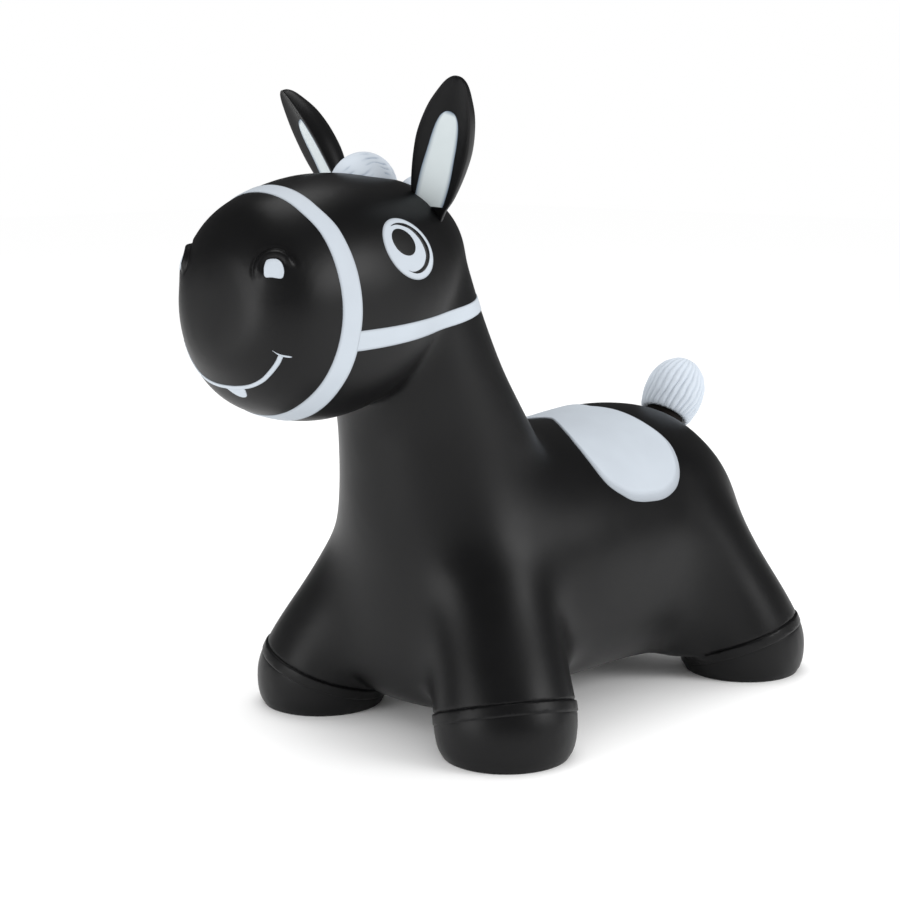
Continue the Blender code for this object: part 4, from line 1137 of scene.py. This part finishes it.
class HORSE_OT_eyes(Operator):
    """White eyes with a dark pupil and a dark crescent"""
    bl_idname = "horse.eyes"
    bl_label = "Eyes"

    def execute(self, context):
        marks = settings()[1]
        for word, side in SIDES:
            to_skin = side_projection(side)
            outline = ellipse(EYE_CENTRE, marks.eye_length / 2, marks.eye_width / 2, EYE_TILT)
            white = disc(f"{word}_eye_white", to_skin, outline, marks.paint)
            finish(white, "body", "white_paint", f"{word}_eye")
            outline = ellipse(PUPIL_CENTRE, marks.pupil_length / 2, marks.pupil_width / 2, PUPIL_TILT)
            pupil = disc(f"{word}_eye_pupil", to_skin, outline, marks.paint + PRINT, "pupil")
            finish(pupil, "body", "black_paint", f"{word}_pupil")
            flat = smooth_rows([(*outer, *inner) for outer, inner in CRESCENT], 6)
            grid = [
                [
                    (to_skin(Vector(row[:2]).lerp(Vector(row[2:]), across)), edge)
                    for across, edge in CRESCENT_STATIONS
                ]
                for row in flat
            ]
            crescent = sheet(f"{word}_eye_crescent", grid, marks.paint + PRINT, material="pupil")
            finish(crescent, "body", "black_paint")
        return {"FINISHED"}


def stroke(name, line, half_width, thickness, to_skin, material="white"):
    """A painted line along (u, v, width share) points."""
    grid = []
    for k, (u, v, width) in enumerate(line):
        before, after = line[max(k - 1, 0)], line[min(k + 1, len(line) - 1)]
        along = Vector((after[0] - before[0], after[1] - before[1])).normalized()
        aside = Vector((-along.y, along.x)) * max(width, 0.04) * half_width
        grid.append([
            (to_skin(Vector((u, v)) + aside * value), share)
            for value, share in STROKE_STATIONS
        ])
    return sheet(name, grid, thickness, material=material)


class HORSE_OT_muzzle(Operator):
    """Nostril patches, smile and tooth"""
    bl_idname = "horse.muzzle"
    bl_label = "Nostrils and mouth"

    def execute(self, context):
        marks = settings()[1]
        for word, side in SIDES:
            centre, facing = nostril(side)
            level = UP.cross(facing).normalized() * side
            upright = facing.cross(level) * side

            def to_skin(point):
                start = centre + level * point[0] + upright * point[1] + facing * NOSTRIL_START
                return hit(start, -facing)

            outline = rounded(NOSTRIL_PATCH)
            patch = disc(f"{word}_nostril_patch", to_skin, outline, marks.paint * THIN_PAINT)
            finish(patch, "body", "white_paint", f"{word}_nostril")
        half = smooth_rows(SMILE, 8)
        line = [(-x, z, 1.0) for x, z in half[:0:-1]] + [(x, z, 1.0) for x, z in half]
        smile = stroke("smile_line", line, marks.smile_line / 2, marks.paint, front_projection)
        finish(smile, "body", "white_paint", "mouth_line")
        for word, side in SIDES:
            tick = [(side * x, z, width) for x, z, width in smooth_rows(SMILE_CORNER, 6)]
            mark = stroke(
                f"{word}_smile_corner", tick, CORNER_HALF_WIDTH, marks.paint * THIN_PAINT, front_projection
            )
            finish(mark, "body", "white_paint")
        outline = [(u + TOOTH_CENTRE[0], v + TOOTH_CENTRE[1]) for u, v in rounded(TOOTH)]
        tooth = disc("smile_tooth", front_projection, outline, marks.paint * 0.8)
        finish(tooth, "body", "white_paint", "tooth")
        return {"FINISHED"}


def saddle_point(point):
    """Carries a (turn about the barrel, y) point on to the skin."""
    turn, y = point
    return hit((0, y, BARREL_AXIS_HEIGHT), (math.sin(turn), 0, math.cos(turn)))


def saddle_bevel(share):
    """A thin groove just inside the saddle's edge."""
    depth, place, width = SADDLE_GROOVE
    return -depth * math.exp(-((share - place) / width) ** 2)


class HORSE_OT_saddle(Operator):
    """White saddle over the back, with a rounded flap on each side"""
    bl_idname = "horse.saddle"
    bl_label = "Saddle"

    def execute(self, context):
        marks = settings()[1]
        half = [tuple(row) for row in smooth_rows(SADDLE_EDGE, 6)]
        outline = half + [(-turn, y) for turn, y in half[-2:0:-1]]
        saddle = disc(
            "saddle_zone", saddle_point, outline, marks.saddle_step, rings=SADDLE_RINGS, raised=saddle_bevel
        )
        finish(saddle, "body", "white_vinyl", "saddle_patch")
        return {"FINISHED"}


# Ears, forelock, tail and plug

def ear_frame(side, tip, turn):
    """The ear's own axes at its root: X across it, Y out of its back, Z to the tip."""
    flip = Vector((side, 1, 1))
    root = EAR_ROOT * flip
    along = (tip - root).normalized()
    across = Vector((math.cos(turn), side * math.sin(turn), 0))
    across = (across - along * across.dot(along)).normalized()
    axes = Matrix((across, along.cross(across), along)).transposed().to_4x4()
    return Matrix.Translation(root) @ axes


def ear_section(height, width, thick, hair):
    """One section of the ear: a round back that flares, and a hollow front inside a rolled lip."""
    half = width * hair.ear_width / 2
    ring = []
    for turn in turns(EAR_POINTS):
        across, bulge = math.cos(turn), abs(math.sin(turn))
        if math.sin(turn) >= 0:
            ring.append((across * (1 + hair.ear_flare * bulge) * half, bulge * thick, height))
        else:
            hollow = hair.ear_dish * bulge**2 - 4 * hair.ear_lip * bulge * (1 - bulge)
            ring.append((across * half, hollow * width, height))
    return ring


def lining_on(word, side, cup, axes, reach):
    """The white zone in the ear's hollow."""
    tree = tree_of(cup.data)
    front = (axes.to_3x3() @ Vector((0, -1, 0))).normalized()
    grid = []
    for along, half in smooth_rows(LINING, 6):
        row = []
        for value, edge in stations(14):
            # the lining's foot slants up towards the ear's outer side
            up = along + LINING_SLANT * max(0.0, 1 - along / LINING_FOOT) * (1 + side * value) / 2
            start = axes @ Vector((value * max(half, 0.00005), -LINING_START, up * reach))
            place, _, _, _ = tree.ray_cast(start, -front)
            row.append((place, max(edge, (along - LINING_FADE[0]) / LINING_FADE[1])))
        grid.append(row)
    lining = sheet(
        f"{word}_ear_white", grid, LINING_PAINT, material="ear_white",
        lift_normal=lambda point: front, misted=LINING_MIST,
    )
    finish(lining, f"{word}_ear", "white_paint", f"{word}_ear_lining")


class HORSE_OT_ears(Operator):
    """Hollow ears with a white lining"""
    bl_idname = "horse.ears"
    bl_label = "Ears"

    def execute(self, context):
        hair = settings()[2]
        for word, side in SIDES:
            tip = EAR_TIP * Vector((side, 1, 1)) - UP * EAR_DROPS[word]
            axes = ear_frame(side, tip, EAR_TURNS[word])
            reach = (tip - axes.translation).length
            rings = [
                ear_section(along * reach, width, deep * hair.ear_depth, hair)
                for along, width, deep in smooth_rows(EAR_SHARES, 6)
            ]
            cup = lofted(f"{word}_ear_cup", rings, axes, materials()["black"], 75)
            lining_on(word, side, cup, axes, reach)
            finish(cup, f"{word}_ear", "black_vinyl", f"{word}_ear")
        return {"FINISHED"}


def new_tree(name, *labels):
    """A Geometry Nodes tree with these named inputs and a material, its inputs and its output node."""
    tree = bpy.data.node_groups.new(name, "GeometryNodeTree")
    for label in (*labels, "Material"):
        kind = {"Ribs": "Int", "Material": "Material"}.get(label, "Float")
        tree.interface.new_socket(name=label, in_out="INPUT", socket_type="NodeSocket" + kind)
    tree.interface.new_socket(name="Geometry", in_out="OUTPUT", socket_type="NodeSocketGeometry")
    return tree, add_node(tree, "NodeGroupInput").outputs, add_node(tree, "NodeGroupOutput").inputs


def grow(name, tree, **values):
    """The plain mesh that a Geometry Nodes tree gives with these inputs."""
    obj = bpy.data.objects.new(name, bpy.data.meshes.new(name))
    bpy.context.scene.collection.objects.link(obj)
    modifier = obj.modifiers.new("Grow", "NODES")
    modifier.node_group = tree
    for item in tree.interface.items_tree:
        if item.in_out == "INPUT":
            modifier[item.identifier] = values[item.name.lower().replace(" ", "_")]
    settle(obj)
    bm = opened(obj.data)
    bmesh.ops.recalc_face_normals(bm, faces=bm.faces)
    bm.to_mesh(obj.data)
    bm.free()
    obj.data.shade_smooth()
    return obj


def set_curve(tree, value, points):
    """A curve through the points, read at the value."""
    node = add_node(tree, "ShaderNodeFloatCurve", {"Value": value})
    curve = node.mapping.curves[0]
    curve.points[0].location = points[0]
    curve.points[1].location = points[-1]
    for point in points[1:-1]:
        curve.points.new(*point)
    node.mapping.update()
    return node


def tuft_tree():
    """One rib as a bent strip, turned round the tail's axis as often as there are ribs."""
    tree, take, result = new_tree(
        "tail_tuft_ribs", "Ribs", "Radius", "Foot", "Length", "Groove", "Twist", "Waver", "Seed"
    )
    step = add_node(tree, MATH, {0: math.tau, 1: take["Ribs"]}, operation="DIVIDE")
    strip = add_node(
        tree, "GeometryNodeMeshGrid", {"Size X": 1.0, "Size Y": 1.0, "Vertices X": 13, "Vertices Y": 121}
    )
    spot = add_node(tree, "GeometryNodeInputPosition")
    place = add_node(tree, "ShaderNodeSeparateXYZ", {0: spot}).outputs
    along = add_node(tree, MATH, {0: place["Y"], 1: 0.5})
    across = add_node(tree, MATH, {0: place["X"], 1: 0.5})
    girth = set_curve(tree, along, [(share, radius) for share, radius, _ in TUFT_OUTLINE])
    rise = set_curve(tree, along, [(share, height) for share, _, height in TUFT_OUTLINE])
    valley = set_curve(tree, across, GROOVE_PROFILE)
    fade = set_curve(tree, along, GROOVE_FADE)
    deep = add_node(tree, MATH, {0: valley, 1: fade}, operation="MULTIPLY")
    cut = add_node(tree, MATH, {0: deep, 1: take["Groove"]}, operation="MULTIPLY")
    full = add_node(tree, MATH, {0: girth, 1: take["Radius"]}, operation="MULTIPLY")
    reach = add_node(tree, MATH, {0: full, 1: cut}, operation="SUBTRACT")
    height = add_node(tree, MATH, {0: rise, 1: take["Length"], 2: take["Foot"]}, operation="MULTIPLY_ADD")
    flat = add_node(tree, "ShaderNodeCombineXYZ", {"X": reach, "Z": height})
    lean = add_node(tree, MATH, {0: along, 1: take["Twist"]}, operation="MULTIPLY")
    turn = add_node(tree, MATH, {0: place["X"], 1: step, 2: lean}, operation="MULTIPLY_ADD")
    bent = add_node(
        tree, "ShaderNodeVectorRotate", {"Vector": flat, "Angle": turn}, rotation_type="Z_AXIS"
    )
    rib = add_node(tree, "GeometryNodeSetPosition", {"Geometry": strip, "Position": bent})
    # the groove's depth is kept for the painted shade that darkens the grooves
    marked = add_node(
        tree, "GeometryNodeStoreNamedAttribute", {"Geometry": rib, "Name": "groove", "Value": deep},
        data_type="FLOAT", domain="POINT",
    )
    line = add_node(tree, "GeometryNodeMeshLine", {"Offset": (0, 0, 0), "Count": take["Ribs"]})
    index = add_node(tree, "GeometryNodeInputIndex")
    spin = add_node(tree, MATH, {0: index, 1: step}, operation="MULTIPLY")
    around = add_node(tree, "ShaderNodeCombineXYZ", {"Z": spin})
    ribs = add_node(
        tree, "GeometryNodeInstanceOnPoints", {"Points": line, "Instance": marked, "Rotation": around}
    )
    # the mould's grooves were cut by hand, so that they wander a little
    drift = add_node(
        tree, NOISE, {"Scale": per_metre(22), "Detail": 1.0, "Vector": spot, "W": take["Seed"]},
        noise_dimensions="4D",
    )
    centred = add_node(tree, MATH, {0: drift, 1: 0.5}, operation="SUBTRACT")
    swing = add_node(tree, MATH, {0: centred, 1: take["Waver"]}, operation="MULTIPLY")
    moved = add_node(
        tree, "ShaderNodeVectorRotate", {"Vector": spot, "Angle": swing}, rotation_type="Z_AXIS"
    )
    real = add_node(tree, "GeometryNodeRealizeInstances", {"Geometry": ribs})
    welded = add_node(tree, "GeometryNodeMergeByDistance", {"Geometry": real, "Distance": 0.00001})
    tuft = add_node(tree, "GeometryNodeSetPosition", {"Geometry": welded, "Position": moved})
    painted = add_node(tree, "GeometryNodeSetMaterial", {"Geometry": tuft, "Material": take["Material"]})
    tree.links.new(painted.outputs[0], result["Geometry"])
    return tree


def lock_tree():
    """A rounded lump of moulded hair with arched grooves pressed into it, one over the other."""
    tree, take, result = new_tree(
        "moulded_hair_grooves", "Half width", "Half length", "Half height",
        "Grooves", "Arch", "Depth", "Seed",
    )
    ball = add_node(tree, "GeometryNodeMeshUVSphere", {"Segments": 192, "Rings": 128, "Radius": 1.0})
    spot = add_node(tree, "GeometryNodeInputPosition")
    place = add_node(tree, "ShaderNodeSeparateXYZ", {0: spot}).outputs
    drift = add_node(
        tree, NOISE, {"Scale": LOCK_DRIFT[0], "Detail": 1.0, "Vector": spot, "W": take["Seed"]},
        noise_dimensions="4D",
    )
    # each groove is an arch: high in the middle of the flank and low at both ends
    bow = add_node(tree, MATH, {0: place["Y"], 1: place["Y"]}, operation="MULTIPLY")
    arch = add_node(tree, MATH, {0: bow, 1: take["Arch"], 2: place["Z"]}, operation="MULTIPLY_ADD")
    wander = add_node(tree, MATH, {0: drift, 1: LOCK_DRIFT[1], 2: arch}, operation="MULTIPLY_ADD")
    phase = add_node(tree, MATH, {0: wander, 1: take["Grooves"]}, operation="MULTIPLY")
    valley = set_curve(tree, add_node(tree, MATH, {0: phase}, operation="FRACT"), LOCK_GROOVE)
    flank = set_curve(tree, add_node(tree, MATH, {0: place["X"]}, operation="ABSOLUTE"), LOCK_FLANK)
    full = add_node(tree, MATH, {0: valley, 1: flank}, operation="MULTIPLY")
    # strokes of the graver: each groove comes and goes along its way
    scale, start, full_at = LOCK_BREAKS
    breaks = add_node(
        tree, NOISE, {"Scale": scale, "Detail": 0.0, "Vector": spot, "W": take["Seed"]},
        noise_dimensions="4D",
    )
    there = add_node(tree, "ShaderNodeMapRange", {"Value": breaks, "From Min": start, "From Max": full_at})
    deep = add_node(tree, MATH, {0: full, 1: there}, operation="MULTIPLY")
    sunk = add_node(tree, MATH, {0: deep, 1: take["Depth"]}, operation="MULTIPLY")
    left = add_node(tree, MATH, {0: 1.0, 1: sunk}, operation="SUBTRACT")
    pressed = add_node(tree, "ShaderNodeVectorMath", {0: spot, "Scale": left}, operation="SCALE")
    halves = add_node(tree, "ShaderNodeCombineXYZ", {
        "X": take["Half width"], "Y": take["Half length"], "Z": take["Half height"],
    })
    shaped = add_node(tree, "ShaderNodeVectorMath", {0: pressed, 1: halves}, operation="MULTIPLY")
    # the groove's depth is kept for the painted shade that darkens the grooves
    marked = add_node(
        tree, "GeometryNodeStoreNamedAttribute", {"Geometry": ball, "Name": "groove", "Value": deep},
        data_type="FLOAT", domain="POINT",
    )
    lump = add_node(tree, "GeometryNodeSetPosition", {"Geometry": marked, "Position": shaped})
    real = add_node(tree, "GeometryNodeRealizeInstances", {"Geometry": lump})
    painted = add_node(tree, "GeometryNodeSetMaterial", {"Geometry": real, "Material": take["Material"]})
    tree.links.new(painted.outputs[0], result["Geometry"])
    return tree


class HORSE_OT_forelock(Operator):
    """Moulded forelock and the small tuft behind it"""
    bl_idname = "horse.forelock"
    bl_label = "Forelock"

    def execute(self, context):
        tree = lock_tree()
        for name, node, centre, halves, grooves, arch, depth, seed in HAIR_LUMPS:
            lump = grow(
                name, tree, half_width=halves[0], half_length=halves[1], half_height=halves[2],
                grooves=grooves, arch=arch, depth=depth, seed=seed, material=materials()["hair"],
            )
            lump.data.transform(Matrix.Translation(centre))
            finish(lump, "body", "white_vinyl", node)
        return {"FINISHED"}


class HORSE_OT_tail(Operator):
    """Ribbed tail tuft on its dark collar"""
    bl_idname = "horse.tail"
    bl_label = "Tail"

    def execute(self, context):
        hair = settings()[2]
        place = Matrix.Translation(TAIL_ROOT) @ Matrix.Rotation(-TAIL_LEAN, 4, "X")
        tuft = grow(
            "tail_hair", tuft_tree(), ribs=hair.ribs, radius=hair.tuft_radius, foot=hair.tuft_foot,
            length=hair.tuft_length, material=materials()["hair"], **TUFT_RIBS,
        )
        tuft.data.transform(place)
        finish(tuft, "tail", "white_vinyl", "tail_tuft")
        rings = [
            [(x, y, height) for x, y in circle(radius, 72)]
            for height, radius in smooth_rows(COLLAR_PROFILE, 4)
        ]
        neck = lofted("tail_neck", rings, place, materials()["collar"])
        finish(neck, "tail", "dark_vinyl", "tail_collar")
        return {"FINISHED"}


class HORSE_OT_stage(Operator):
    """Floor, lights and camera"""
    bl_idname = "horse.stage"
    bl_label = "Stage"

    def execute(self, context):
        scene = context.scene
        stage = scene.horse_stage
        bpy.ops.mesh.primitive_plane_add(size=14)
        floor = context.active_object
        floor.name = "floor"
        floor.data.materials.append(floor_material(stage.floor))
        world = bpy.data.worlds.new("studio")
        scene.world = world
        world.use_nodes = True
        studio = world.node_tree
        # black flags round the set keep the vinyl dark: mirrored rays see a dimmer room
        rays = add_node(studio, "ShaderNodeLightPath")
        room = add_node(studio, "ShaderNodeMapRange", {
            "Value": rays.outputs["Is Glossy Ray"], "To Min": stage.ambient, "To Max": stage.flagged,
        })
        background = studio.nodes["Background"]
        background.inputs["Color"].default_value = linear("#FFFFFF")
        studio.links.new(room.outputs["Result"], background.inputs["Strength"])
        scene.view_settings.view_transform = "Standard"
        for name, place, size, power in SOFTBOXES:
            data = bpy.data.lights.new(name, "AREA")
            data.size = size
            data.energy = power
            light = bpy.data.objects.new(name, data)
            scene.collection.objects.link(light)
            light.location = place
            aim = Vector(stage.target) - Vector(place)
            light.rotation_euler = aim.to_track_quat("-Z", "Y").to_euler()
        camera_data = bpy.data.cameras.new("camera")
        camera_data.sensor_width = 36
        camera_data.lens = stage.lens
        camera_data.shift_x, camera_data.shift_y = CAMERA_SHIFT
        camera = bpy.data.objects.new("camera", camera_data)
        scene.collection.objects.link(camera)
        a, e = stage.azimuth, stage.elevation
        back = Vector((math.sin(a) * math.cos(e), -math.cos(a) * math.cos(e), math.sin(e)))
        camera.location = Vector(stage.target) - MIDDLE + back * stage.distance
        camera.rotation_euler = (-back).to_track_quat("-Z", "Y").to_euler()
        scene.camera = camera
        return {"FINISHED"}


class HORSE_OT_finish(Operator):
    """Removes the drawing aid and finishes the plug kept from the frame"""
    bl_idname = "horse.finish"
    bl_label = "Finish"

    def execute(self, context):
        bpy.data.objects.remove(made.pop("form"))
        plug = frame["nodes"]["valve_plug"]
        plug.data.materials.clear()
        plug.data.materials.append(materials()["black"])
        return {"FINISHED"}


OPERATORS = (
    HORSE_OT_stage,
    HORSE_OT_skin,
    HORSE_OT_halter,
    HORSE_OT_eyes,
    HORSE_OT_muzzle,
    HORSE_OT_saddle,
    HORSE_OT_ears,
    HORSE_OT_forelock,
    HORSE_OT_tail,
    HORSE_OT_finish,
)

GROUPS = {
    "horse_skin": HorseSkin,
    "horse_marks": HorseMarks,
    "horse_hair": HorseHair,
    "horse_stage": HorseStage,
}


class HORSE_PT_panel(Panel):
    """Sizes and steps of the horse"""
    bl_idname = "HORSE_PT_panel"
    bl_label = "Bouncy Horse"
    bl_space_type = "VIEW_3D"
    bl_region_type = "UI"
    bl_category = "Bouncy Horse"

    def draw(self, context):
        for name in GROUPS:
            group = getattr(context.scene, name)
            box = self.layout.box()
            for key in group.bl_rna.properties.keys():
                if key not in ("rna_type", "name"):
                    box.prop(group, key)
        for operator in OPERATORS:
            self.layout.operator(operator.bl_idname)


def register():
    for cls in (*GROUPS.values(), *OPERATORS, HORSE_PT_panel):
        bpy.utils.register_class(cls)
    for name, group in GROUPS.items():
        setattr(bpy.types.Scene, name, PointerProperty(type=group))


def unregister():
    for name in GROUPS:
        delattr(bpy.types.Scene, name)
    for cls in (HORSE_PT_panel, *reversed(OPERATORS), *reversed(GROUPS.values())):
        bpy.utils.unregister_class(cls)


def main():
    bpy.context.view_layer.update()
    register()
    for operator in OPERATORS:
        group, name = operator.bl_idname.split(".")
        getattr(getattr(bpy.ops, group), name)()


if __name__ == "__main__":
    main()
